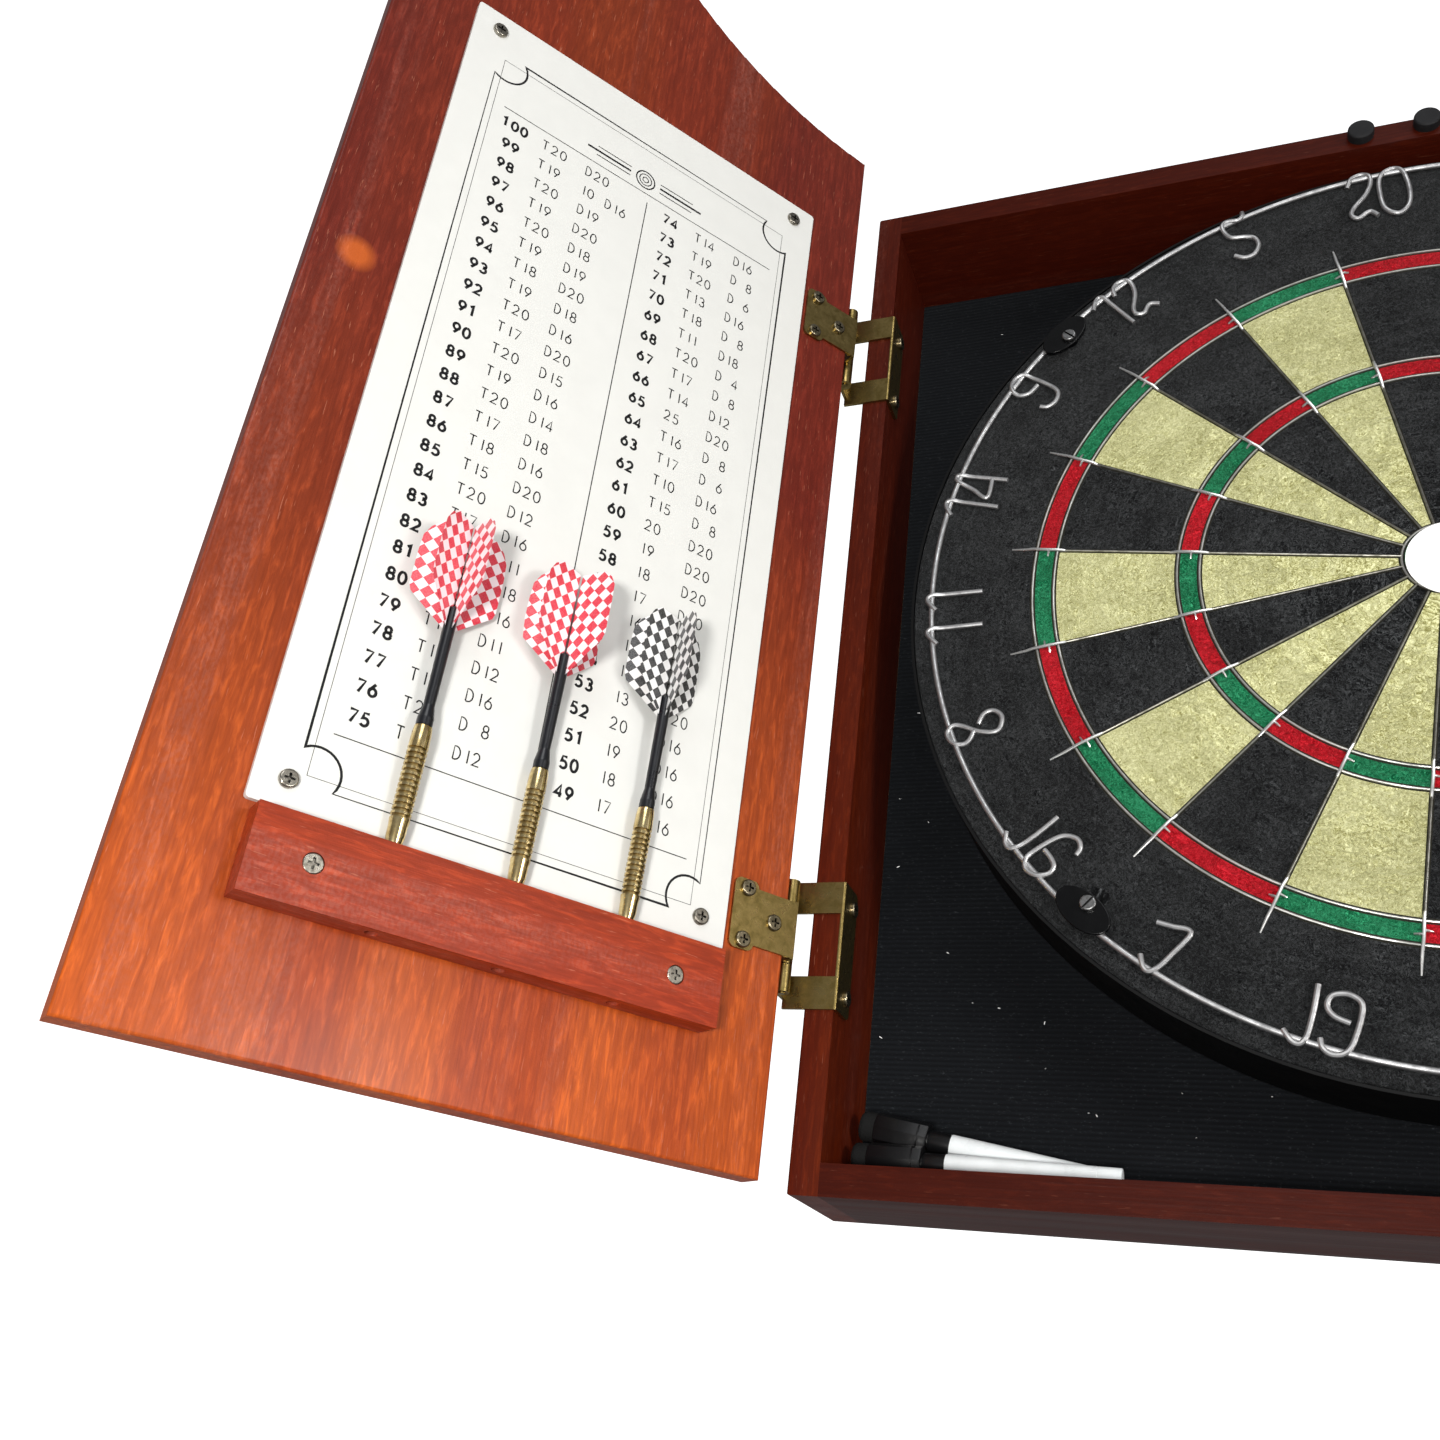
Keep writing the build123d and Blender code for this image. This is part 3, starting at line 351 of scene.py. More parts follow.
INK = plastic("print_black", (0.009, 0.009, 0.01), 0.5, Specular_IOR_Level=0.2)
FILM_RED = checks("flight_red_white", (0.62, 0.004, 0.03), (0.88, 0.78, 0.8))
FILM_BLACK = checks("flight_black_white", (0.008, 0.008, 0.009), (0.84, 0.83, 0.82))
PLYWOOD = raw_board("plywood_back", (0.36, 0.23, 0.12), (0.5, 0.35, 0.2), (40, 40, 4))
CHIPBOARD = raw_board("chipboard", (0.3, 0.2, 0.11), (0.6, 0.46, 0.28), (280, 280, 280))

FINISH = {
    "wood_case": CASE_WOOD, "wood_door": DOOR_WOOD, "wood_holder": HOLDER_LEFT, "plywood_back": PLYWOOD,
    "chipboard": CHIPBOARD, "cloth": FELT, "sisal": SISAL_BLACK, "antique_brass": ANTIQUE,
    "zinc_steel": ZINC, "wire_steel": WIRE_RING, "blackened_steel": RIM_BLACK, "black_rubber": RUBBER,
    "black_plastic": CLIP_BLACK, "chart_white": CHART_WHITE, "score_white": SCORE_WHITE,
    "sticker_white": STICKER, "dart_brass": DART_BRASS, "dart_black": SHAFT_BLACK,
    "flight_red_white": FILM_RED, "flight_black_white": FILM_BLACK, "pen_black": PEN_BLACK,
    "pen_white": PEN_WHITE,
}
for part in frame["record"]["subparts"]:
    node = nodes[part["node"]]
    node.data.materials.clear()
    node.data.materials.append(FINISH[part["material_slot"]])
for name in ("top_panel", "bottom_panel"):
    nodes[name].data.materials[0] = RAIL_WOOD
for name in ("hinge_leaf_screws_left", "hinge_leaf_screws_right", "hinge_frame_screws"):
    nodes[name].data.materials[0] = ANTIQUE_SCREW
nodes["ring_clip_screws"].data.materials[0] = STEEL_DARK
nodes["dart_holder_right"].data.materials[0] = HOLDER_RIGHT


# ---------------------------------------------------------------- mesh building
class Shape:
    """Points and faces gathered for one mesh piece."""

    def __init__(self):
        self.points = []
        self.faces = []
        self.finish = []
        self.film = []

    def face(self, corners, finish=0, film=None):
        start = len(self.points)
        self.points += [Vector(c) for c in corners]
        self.faces.append(tuple(range(start, start + len(corners))))
        self.finish.append(finish)
        self.film += film or [(0.0, 0.0)] * len(corners)

    def grid(self, rows, finish=0, wrap=False):
        """A sheet over rows of points; wrap joins each row's last point to its first."""
        start = len(self.points)
        width = len(rows[0])
        for row in rows:
            self.points += [Vector(p) for p in row]
        for i in range(len(rows) - 1):
            for j in range(width if wrap else width - 1):
                k = (j + 1) % width
                self.faces.append((start + i * width + j, start + i * width + k,
                                   start + (i + 1) * width + k, start + (i + 1) * width + j))
                self.finish.append(finish)

    def cap(self, ring, finish=0):
        start = len(self.points)
        self.points += [Vector(p) for p in ring]
        self.faces.append(tuple(range(start, start + len(ring))))
        self.finish.append(finish)

    def tube(self, path, radius, finish=0, sides=10, closed=False, flat=1.0):
        """A round wire along a path that lies near the plane of the board.
        radius may be a list, one for each point."""
        off = Vector((0, -1, 0))
        path = [Vector(p) for p in path]
        radii = radius if isinstance(radius, list) else [radius] * len(path)
        rings = []
        for i, p in enumerate(path):
            before = path[i - 1] if i or closed else p
            after = path[(i + 1) % len(path)] if i < len(path) - 1 or closed else p
            side = (after - before).normalized().cross(off).normalized()
            up = side.cross((after - before).normalized())
            rings.append([p + (side * math.cos(t) + up * flat * math.sin(t)) * radii[i]
                          for t in (2 * math.pi * k / sides for k in range(sides))])
        if closed:
            rings.append(rings[0])
        self.grid(rings, finish, wrap=True)
        if not closed:
            self.cap(rings[0], finish)
            self.cap(rings[-1], finish)

    def ribbon(self, path, width, place, closed=False):
        """A flat printed stroke; place turns (across, up) into a point."""
        half = width / 2
        count = len(path)
        left, right = [], []
        for i, p in enumerate(path):
            before = path[i - 1] if i or closed else p
            after = path[(i + 1) % count] if i < count - 1 or closed else p
            one = _unit(p[0] - before[0], p[1] - before[1])
            two = _unit(after[0] - p[0], after[1] - p[1])
            nx, ny = _unit(-(one[1] + two[1]), one[0] + two[0])
            turn = max(0.5, abs(nx * -(one[1] or two[1]) + ny * (one[0] or two[0])))
            if one == (0.0, 0.0) or two == (0.0, 0.0):
                turn = 1.0
            left.append(place(p[0] + nx * half / turn, p[1] + ny * half / turn))
            right.append(place(p[0] - nx * half / turn, p[1] - ny * half / turn))
        if closed:
            left.append(left[0])
            right.append(right[0])
        self.grid([left, right])

    def piece(self, name, finishes, body, smooth=True, sharp=35):
        mesh = bpy.data.meshes.new(name)
        mesh.from_pydata(self.points, [], self.faces)
        for finish in finishes:
            mesh.materials.append(finish)
        mesh.polygons.foreach_set("material_index", self.finish)
        if any(uv != (0.0, 0.0) for uv in self.film):
            layer = mesh.uv_layers.new(name="film")
            for loop in mesh.loops:
                layer.data[loop.index].uv = self.film[loop.vertex_index]
        obj = bpy.data.objects.new(name, mesh)
        bpy.context.scene.collection.objects.link(obj)
        tidy(obj)
        if smooth:
            mesh.polygons.foreach_set("use_smooth", [True] * len(mesh.polygons))
            mesh.set_sharp_from_angle(angle=math.radians(sharp))
        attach(obj, body)
        return obj


def _unit(x, y):
    size = math.hypot(x, y)
    return (x / size, y / size) if size > 1e-12 else (0.0, 0.0)


def tidy(obj):
    """Join points that meet and turn all faces outwards."""
    work = bmesh.new()
    work.from_mesh(obj.data)
    bmesh.ops.remove_doubles(work, verts=work.verts, dist=0.000002)
    bmesh.ops.recalc_face_normals(work, faces=work.faces)
    work.to_mesh(obj.data)
    work.free()


def arc(cx, cy, rx, ry, start, end, steps=10):
    return [(cx + rx * math.cos(math.radians(start + (end - start) * i / steps)),
             cy + ry * math.sin(math.radians(start + (end - start) * i / steps))) for i in range(steps + 1)]


def smooth_path(points, closed=False, steps=6):
    """A Catmull-Rom curve through the points."""
    pts = [Vector((*p, 0)) if len(p) == 2 else Vector(p) for p in points]
    count = len(pts)
    path = []
    for i in range(count if closed else count - 1):
        if closed:
            p0, p1, p2, p3 = (pts[(i + k) % count] for k in (-1, 0, 1, 2))
        else:
            p0, p1, p2, p3 = (pts[min(max(i + k, 0), count - 1)] for k in (-1, 0, 1, 2))
        for step in range(steps):
            t = step / steps
            path.append(0.5 * ((2 * p1) + (p2 - p0) * t + (2 * p0 - 5 * p1 + 4 * p2 - p3) * t * t
                               + (3 * p1 - p0 - 3 * p2 + p3) * t ** 3))
    if not closed:
        path.append(pts[-1])
    return path


TWIST = 0.9                      # degrees anticlockwise that the board hangs off upright


def on_board(radius, degrees, proud=0.0):
    """A point on the board's face, in polar coordinates, that far in front of it."""
    turn = math.radians(degrees + TWIST)
    return Vector((BOARD.x + radius * math.cos(turn), FACE_Y - proud, BOARD.z + radius * math.sin(turn)))


# ---------------------------------------------------------------- bristle face
DOUBLE = (169.3 * MM, 159.8 * MM)
TREBLE = (106.3 * MM, 96.8 * MM)
BULL = (16.6 * MM, 7.1 * MM)
SECTOR = 18
STEP = 1.5
BLACK, CREAM, RED, GREEN = range(4)

face = Shape()
back_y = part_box("sisal_disc")[1].y
spots = int(360 / STEP)
beds = [(0.3 * MM, BULL[1], RED, RED), (BULL[1], BULL[0], GREEN, GREEN),
        (BULL[0], TREBLE[1], BLACK, CREAM), (TREBLE[1], TREBLE[0], RED, GREEN),
        (TREBLE[0], DOUBLE[1], BLACK, CREAM), (DOUBLE[1], DOUBLE[0], RED, GREEN),
        (DOUBLE[0], DISC_RADIUS - 1.6 * MM, BLACK, BLACK)]
for inner, outer, even, odd in beds:
    for spot in range(spots):
        first, last = spot * STEP, (spot + 1) * STEP
        sector = int((first + STEP / 2 + SECTOR / 2) // SECTOR)
        face.face([on_board(inner, first), on_board(outer, first), on_board(outer, last),
                   on_board(inner, last)], even if (sector - 5) % 2 == 0 else odd)
rim = []
for inset, back in ((1.6, 0.0), (0.5, 0.5), (0.0, 1.6)):
    rim.append([on_board(DISC_RADIUS - inset * MM, spot * STEP, -back * MM) for spot in range(spots)])
rim.append([Vector((p.x, back_y, p.z)) for p in rim[-1]])
face.grid(rim, BLACK, wrap=True)
face.cap([on_board(0.3 * MM, a) for a in range(0, 360, 30)], RED)
face.cap(rim[-1], BLACK)
bed = face.piece("board_bristle", [SISAL_BLACK, SISAL_CREAM, SISAL_RED, SISAL_GREEN], "dartboard")
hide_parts("sisal_disc")

# ---------------------------------------------------------------- spider
WIRE = 0.52 * MM
SHADE_STRIP_LIFT = 0.03 * MM             # the dark strip beside each wire, painted shade, stands this far off the bristle
grid = Shape()
turns = [spot * STEP for spot in range(spots)]
for radius in DOUBLE + TREBLE + BULL:
    grid.tube([on_board(radius, a, 0.2 * MM) for a in turns], WIRE, 3, 8, closed=True)
    # painted shade: a dark strip on each side of every ring wire
    for side in (-1, 1):
        inner, outer = sorted((radius + side * 0.5 * MM, radius + side * 1.15 * MM))
        grid.grid([[on_board(inner, a, SHADE_STRIP_LIFT) for a in turns],
                   [on_board(outer, a, SHADE_STRIP_LIFT) for a in turns]], 2, wrap=True)
for sector in range(20):
    angle = 9 + SECTOR * sector

    def beside(radius, shift, proud):
        turn = math.radians(angle + TWIST)
        point = on_board(radius, angle, proud)
        return point + Vector((-math.sin(turn), 0, math.cos(turn))) * shift

    grid.tube([on_board(r * MM, angle, 0.25 * MM) for r in (16.6, 60, 101, 130, 168)], 0.5 * MM, 1, 8)
    # painted shade: a dark strip on each side of every spoke
    for side in (-1, 1):
        for start, end in ((16.6, 96.8), (106.3, 159.8)):
            grid.face([beside(r * MM, side * shift * MM, SHADE_STRIP_LIFT)
                       for r, shift in ((start, 0.42), (end, 0.42), (end, 0.98), (start, 0.98))], 2)
    # painted highlight: the raised legs and staples take the much paler copy of the spider steel
    for start, end, kink, tail in ((154.6, 181.0, 0.9, (10, 7)), (91.8, 111.2, 0.6, (5.2, 3))):
        reach_mm = [start, start + 3.2, start + 5.2, (start + end) / 2 - 1,
                    end - tail[0], end - tail[1], end]
        lift = [0.1, 0.5, 0.95, 1.0, 0.95, 0.5, 0.05]
        size = [0.45, 0.7, 0.75, 0.78, 0.75, 0.72, 0.4]
        grid.tube([beside(r * MM, kink * 0.12 * MM * math.sin(i * 2.1 + sector), h * MM)
                   for i, (r, h) in enumerate(zip(reach_mm, lift))], [s * MM for s in size], 0, 8, flat=0.7)
        middle = (DOUBLE[0] + DOUBLE[1]) / 2 if end > 150 else (TREBLE[0] + TREBLE[1]) / 2
        for side in ((1, -1) if end > 150 and sector % 3 else (1,)):
            grid.tube([beside(middle - side * 0.8 * MM, side * shift * MM, h * MM)
                       for shift, h in ((0, 1.0), (1.4, 0.95), (3.2, 0.15))],
                      [0.55 * MM, 0.55 * MM, 0.4 * MM], 0, 6)
spider = grid.piece("spider_wires", [WIRE_LIT, WIRE_DULL, WIRE_SHADE, WIRE_BED], "dartboard")
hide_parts("spider")

# ---------------------------------------------------------------- number ring and wire numerals
# Strokes in millimetres: x to the right, y up, the ring passing near y = 24 on the numerals
# that hang from it and near y = 0 on those that stand on it.
GLYPHS = {
    "1": [(-8.7, 21.4), (-4.6, 24.8), (-2.1, 25.6), (-0.6, 24.1), (-0.1, 21), (0, 12.5), (0, 0)],
    "j": [(-8.2, 1.5), (-4.6, -1.4), (-1.6, -1.6), (0, 1), (0.3, 5), (0.2, 13), (-0.5, 22.4)],
    "2": [(-5.8, 20), (-3.8, 24.2), (0, 26), (3.8, 24.4), (4.7, 20.4), (1.9, 14), (-4, 7.4),
          (-5.1, 3.6), (-2.4, 1.2), (1.4, 3.2), (3.6, 3.4), (6.4, 0.4)],
    "3": [(-5.2, 19.4), (-2.6, 23), (1, 23.6), (4.2, 20.8), (3.8, 16), (0.2, 12.8), (-1.6, 12.4),
          (0.6, 12), (4.8, 9.2), (5.4, 4.2), (2.4, 0), (-2.4, -0.8), (-5.6, 2.6)],
    "4": [(5.1, 0.4), (4.4, 12), (3.4, 22.8), (2, 25.2), (-0.4, 23.6), (-3.2, 15.2), (-6.3, 9.6),
          (-6.4, 7.2), (-4, 6.7), (0, 7.2), (4.2, 8)],
    "5": [(6.4, 27), (5.6, 24.2), (2.8, 22.8), (-2.2, 24.8), (-4.9, 23.4), (-5.2, 19.8), (-3.4, 14.8),
          (2.2, 11.6), (5.9, 8.5), (6, 3), (2.2, -1.2), (-2.4, -0.9), (-6, 2.9)],
    "6": [(6.4, 17.6), (4.8, 21), (1, 22.6), (-3.2, 20), (-5, 15), (-5.6, 6), (-4.6, 1.2), (-1, -1.6),
          (4, -0.3), (6.2, 4.2), (4.8, 7.8), (1, 9.2), (-3.6, 9.4)],
    "7": [(-7, 17.6), (-1, 19.6), (4, 21.6), (6.2, 19.8), (5.4, 11), (4.3, 2.4), (2.4, -1), (-0.6, -0.3),
          (-4, 3)],
    "8": [(0.6, 11.2), (4.6, 7.4), (4.6, 2.9), (0.4, 0.4), (-4.8, 2.9), (-5.4, 6.8), (-2.4, 12.4),
          (2.6, 18), (4, 21.4), (2, 24.8), (-1.2, 25.4), (-5.2, 23.6), (-6.4, 19.8), (-4.6, 16.4),
          (-1, 13.4)],
    "9": [(4, 13.9), (-1.6, 14.5), (-5, 17.6), (-5.4, 21.5), (-2.8, 24.8), (1.6, 25.9), (5.2, 24),
          (6.3, 19.6), (6.3, 8), (4.6, 2.1), (-0.4, 0), (-4.7, 1.5), (-6.4, 5)],
    "g": [(4.8, 11.3), (-1.1, 12.4), (-4.2, 15.4), (-3.4, 19.8), (1.6, 21.8), (6.6, 19.8), (7.8, 13.5),
          (7.2, 3.5), (5.2, -0.6), (1.2, -1.9), (-2.2, -0.4), (-3.6, 2.6)],
}
ZERO = [(0.6, 25.6), (5.2, 21.8), (6.6, 12), (5.4, 3.6), (0.6, -0.6), (-4.8, 3.4), (-6.2, 12), (-5.4, 21.8)]
HANG, STAND = 23.6, 0.0
NUMERAL_WIRE = 1.15 * MM         # radius
NUMERALS = [
    (20, 90, (("2", -19.4), ("0", -4.8))), (5, 108, (("5", -12.0),)),
    (12, 126, (("1", -14.2), ("2", -5.0))),
    (9, 144, (("9", -9.4),)), (14, 162, (("1", -13.6), ("4", -3.0))), (11, 180, (("1", -17.2), ("1", 0.6))),
    (8, 198, (("8", -5.8),)), (16, 216, (("j", 0.2), ("6", 11.4))), (7, 234, (("7", 3.9),)),
    (19, 252, (("j", -1.9), ("g", 6.4))), (3, 270, (("3", 5.4),)), (17, 288, (("j", 1.2), ("7", 10.6))),
    (2, 306, (("2", 6.2),)), (15, 324, (("j", -2.2), ("5", 7.4))), (10, 342, (("1", -15.0), ("0", -4.2))),
    (6, 360, (("6", -7.6),)), (13, 18, (("1", -14.6), ("3", -4.6))), (4, 36, (("4", -8.4),)),
    (18, 54, (("1", -15.4), ("8", -4.2))), (1, 72, (("1", -7.6),)),
]
LOOSE = random.Random(7)
numerals = Shape()
numerals.tube([Vector((RING.x + RING_RADIUS * math.cos(math.radians(a)), RING.y,
                       RING.z + RING_RADIUS * math.sin(math.radians(a)))) for a in turns], RING_WIRE, 0, 12,
              closed=True)
for number, angle, digits in NUMERALS:
    turn = math.radians(angle)
    stands = 210 < angle < 330
    outward = Vector((math.cos(turn), 0, math.sin(turn)))
    right = Vector((-outward.z, 0, outward.x)) if stands else Vector((outward.z, 0, -outward.x))
    up = -outward if stands else outward
    foot = Vector((RING.x, FACE_Y, RING.z)) + outward * RING_RADIUS
    for digit, shift in digits:
        tall = 1.1 if number == 20 else 1.0
        base = STAND if stands else -HANG * tall
        if stands and digit in "235":
            base = -1.0
        path = []
        slant = LOOSE.uniform(-0.03, 0.03)
        for x, y, _ in smooth_path(ZERO if digit == "0" else GLYPHS[digit], digit == "0"):
            x, y = (x + shift + slant * y) * MM, (y * tall + base) * MM
            near = math.exp(-((y / (3.2 * MM)) ** 2))
            proud = 1.2 * MM + near * 1.05 * MM          # rides up over the ring
            path.append(foot + right * x + up * y - outward * (x * x / (2 * RING_RADIUS))
                        + Vector((0, -proud, 0)))
        numerals.tube(path, NUMERAL_WIRE, 0, 10, closed=digit == "0")
numbers = numerals.piece("ring_numerals", [WIRE_RING], "dartboard")
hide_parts("number_ring")


# ---------------------------------------------------------------- printed panels
STROKES = {
    "0": [arc(0.32, 0.5, 0.3, 0.5, 90, 450, 20)],
    "1": [[(0.32, 0), (0.32, 1)]],
    "b": [[(0.08, 0.84), (0.34, 1), (0.34, 0)]],
    "2": [arc(0.31, 0.7, 0.27, 0.3, 165, -38, 10) + [(0.04, 0.02), (0.62, 0.02)]],
    "3": [arc(0.29, 0.75, 0.24, 0.25, 155, -70, 10) + arc(0.3, 0.27, 0.28, 0.27, 75, -155, 10)],
    "4": [[(0.48, 0), (0.48, 1), (0.02, 0.27), (0.64, 0.27)]],
    "5": [[(0.56, 0.99), (0.16, 0.99), (0.1, 0.58)] + arc(0.28, 0.31, 0.3, 0.31, 105, -145, 12)],
    "6": [[(0.46, 1), (0.09, 0.46)] + arc(0.32, 0.31, 0.28, 0.31, 150, 480, 18)],
    "7": [[(0.03, 0.98), (0.61, 0.98), (0.2, 0)]],
    "8": [arc(0.32, 0.75, 0.23, 0.25, 0, 360, 16), arc(0.32, 0.265, 0.28, 0.265, 0, 360, 16)],
    "9": [[(0.18, 0), (0.55, 0.54)] + arc(0.32, 0.69, 0.28, 0.31, -30, 300, 18)],
    "T": [[(0.0, 0.98), (0.62, 0.98)], [(0.31, 0.98), (0.31, 0)]],
    "D": [[(0.06, 0.0), (0.06, 1.0), (0.22, 1.0)] + arc(0.22, 0.5, 0.4, 0.5, 90, -90, 12) + [(0.06, 0.0)]],
}


def write(shape, text, x, y, height, stroke, place, pitch=0.82, heavy=False):
    """Simple stroked figures, left end at x, standing on y; all in metres."""
    for letter in text:
        if letter != " ":
            for path in STROKES["b" if heavy and letter == "1" else letter]:
                width = height * (0.96 if heavy else 0.9)
                shape.ribbon([(x + px * width, y + py * height) for px, py in path], stroke, place)
        x += height * pitch * (0.72 if letter == "1" and not heavy else 1.0)


def line(shape, ends, width, place, closed=False):
    """A printed line through points in millimetres."""
    shape.ribbon([(x * MM, y * MM) for x, y in ends], width * MM, place, closed=closed)


def target(shape, x, y, rings, place):
    """Plain rings round a point, in place of any heading."""
    for radius, width in rings:
        line(shape, arc(x, y, radius, radius, 0, 350, 35), width, place, closed=True)


def frame_lines(shape, width, height, place):
    """The double border: a heavy line with scooped corners and a light one inside it."""
    left, right, low, top = 14.7, width - 14.2, 10.4, height - 21.8
    notch, bite = 9.4, (4.9, 5.0)
    path = []
    for cx, cy in ((left, low), (left, top), (right, top), (right, low)):
        dx, dy = (1 if cx == left else -1), (1 if cy == low else -1)
        curve = arc(bite[0], bite[1], notch, notch, -34, 123, 14)
        if dx * dy < 0:
            curve = curve[::-1]
        path += [(cx + dx * px, cy + dy * py) for px, py in curve]
    line(shape, path, 0.95, place, closed=True)
    left, right, low, top = left + 2.8, right - 2.8, low + 3.2, top - 3.0
    line(shape, ((left, low), (left, top), (right, top), (right, low)), 0.42, place, closed=True)


PRINT_LIFT = 0.06 * MM           # the print stands this far off its panel


def panel_place(node, rightward, off):
    """(right, up) on a panel's printed face, from its lower left corner, to a point."""
    left = reach(node, rightward)[0]
    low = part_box(node)[0].z
    front = reach(node, off)[1] + PRINT_LIFT
    corner = rightward * left + off * front + Z * low
    return lambda x, y: corner + rightward * x + Z * y


LEFT_OUTS = ("T20 D20;T19 10 D16;T20 D19;T19 D20;T20 D18;T19 D19;T18 D20;T19 D18;T20 D16;T17 D20;T20 D15;"
             "T19 D16;T20 D14;T17 D18;T18 D16;T15 D20;T20 D12;T17 D16;T20 D11;T15 D18;T16 D16;T19 D11;"
             "T18 D12;T15 D16;T20 D 8;T17 D12").split(";")
RIGHT_OUTS = ("T14 D16;T19 D 8;T20 D 6;T13 D16;T18 D 8;T11 D18;T20 D 4;T17 D 8;T14 D12;25 D20;T16 D 8;"
              "T17 D 6;T10 D16;T15 D 8;20 D20;19 D20;18 D20;17 D20;16 D20;15 D20;14 D20;13 D20;20 D16;"
              "19 D16;18 D16;17 D16").split(";")
ROW_TOP, ROW_PITCH = 331.4, 11.75
BOLD, THIN = (4.9 * MM, 1.15 * MM), (5.1 * MM, 0.56 * MM)      # height and stroke of the figures
PANEL_MM = (189, 392)

chart = Shape()
place = panel_place("chart_panel", -ACROSS, INWARD)
frame_lines(chart, *PANEL_MM, place)
for height in (341.4, 31.2):
    line(chart, ((22.5, height), (167.4, height)), 0.4, place)
line(chart, ((97.5, 336.8), (97.5, 38.0)), 0.45, place)
for top, outs, bold_x, first_x, last_x in ((100, LEFT_OUTS, 25.7, 43.2, 65.2),
                                           (74, RIGHT_OUTS, 107.0, 124.8, 147.0)):
    for row, out in enumerate(outs):
        base = (ROW_TOP - ROW_PITCH * row) * MM
        start = (bold_x - (2.4 if top - row > 99 else 0)) * MM
        write(chart, str(top - row), start, base, *BOLD, place, 0.92, heavy=True)
        first, last = out.split(" ", 1)
        write(chart, first, first_x * MM, base, *THIN, place, 0.88)
        write(chart, last, last_x * MM, base, *THIN, place, 0.88)
# a plain target between two tapering sets of bars heads the chart
head_x, head_y = 94.6, 349.2
target(chart, head_x, head_y, ((4.9, 0.7), (3.2, 0.5), (1.5, 0.5)), place)
for side in (-1, 1):
    for far, rise, width in ((31, 0, 1.1), (26, 2.6, 0.5), (26, -2.6, 0.5)):
        line(chart, [(head_x + side * x, head_y + rise) for x in (8, far)], width, place)
chart.piece("chart_print", [INK], "left_door", smooth=False)

score = Shape()
place = panel_place("score_panel", RIGHT_ACROSS, RIGHT_INWARD)
frame_lines(score, *PANEL_MM, place)
for height in (341.4, 31.2):
    line(score, ((22.5, height), (167.4, height)), 0.4, place)
line(score, ((94.5, 341.4), (94.5, 31.2)), 0.45, place)
for row, number in enumerate(("20", "19", "18", "17", "16", "15")):
    base = 300 - row * 40
    line(score, ((22.5, base - 14), (167.4, base - 14)), 0.3, place)
    score.face([place(x * MM, y * MM) + RIGHT_INWARD * 0.02 * MM for x, y in
                ((88, base - 3), (101, base - 3), (101, base + 9), (88, base + 9))], 1)
    write(score, number, 89.6 * MM, (base - 1) * MM, 7 * MM, 1.2 * MM,
          lambda x, y: place(x, y) + RIGHT_INWARD * 0.05 * MM, 0.86, heavy=True)
target(score, head_x, 352, ((5.6, 0.7), (3.6, 0.5), (1.6, 0.5)), place)
score.piece("score_print", [INK, SCORE_WHITE], "right_door", smooth=False)


# ---------------------------------------------------------------- darts
def lathe(shape, foot, axis, profile, finish=0, sides=36):
    """Turn (along, radius) points in metres round an axis."""
    side = axis.orthogonal().normalized()
    other = axis.cross(side)
    rows = [[foot + axis * a + (side * math.cos(t) + other * math.sin(t)) * r
             for t in (2 * math.pi * k / sides for k in range(sides))] for a, r in profile]
    bands = finish if isinstance(finish, list) else [finish] * (len(rows) - 1)
    for k, band in enumerate(bands):
        shape.grid(rows[k:k + 2], band, wrap=True)
    shape.cap(rows[0], bands[0])
    shape.cap(rows[-1], bands[-1])


FINS = {1: (38, 98, -165, -25), 2: (25, 115, -154, -26), 3: (20, 85, -155, -24)}
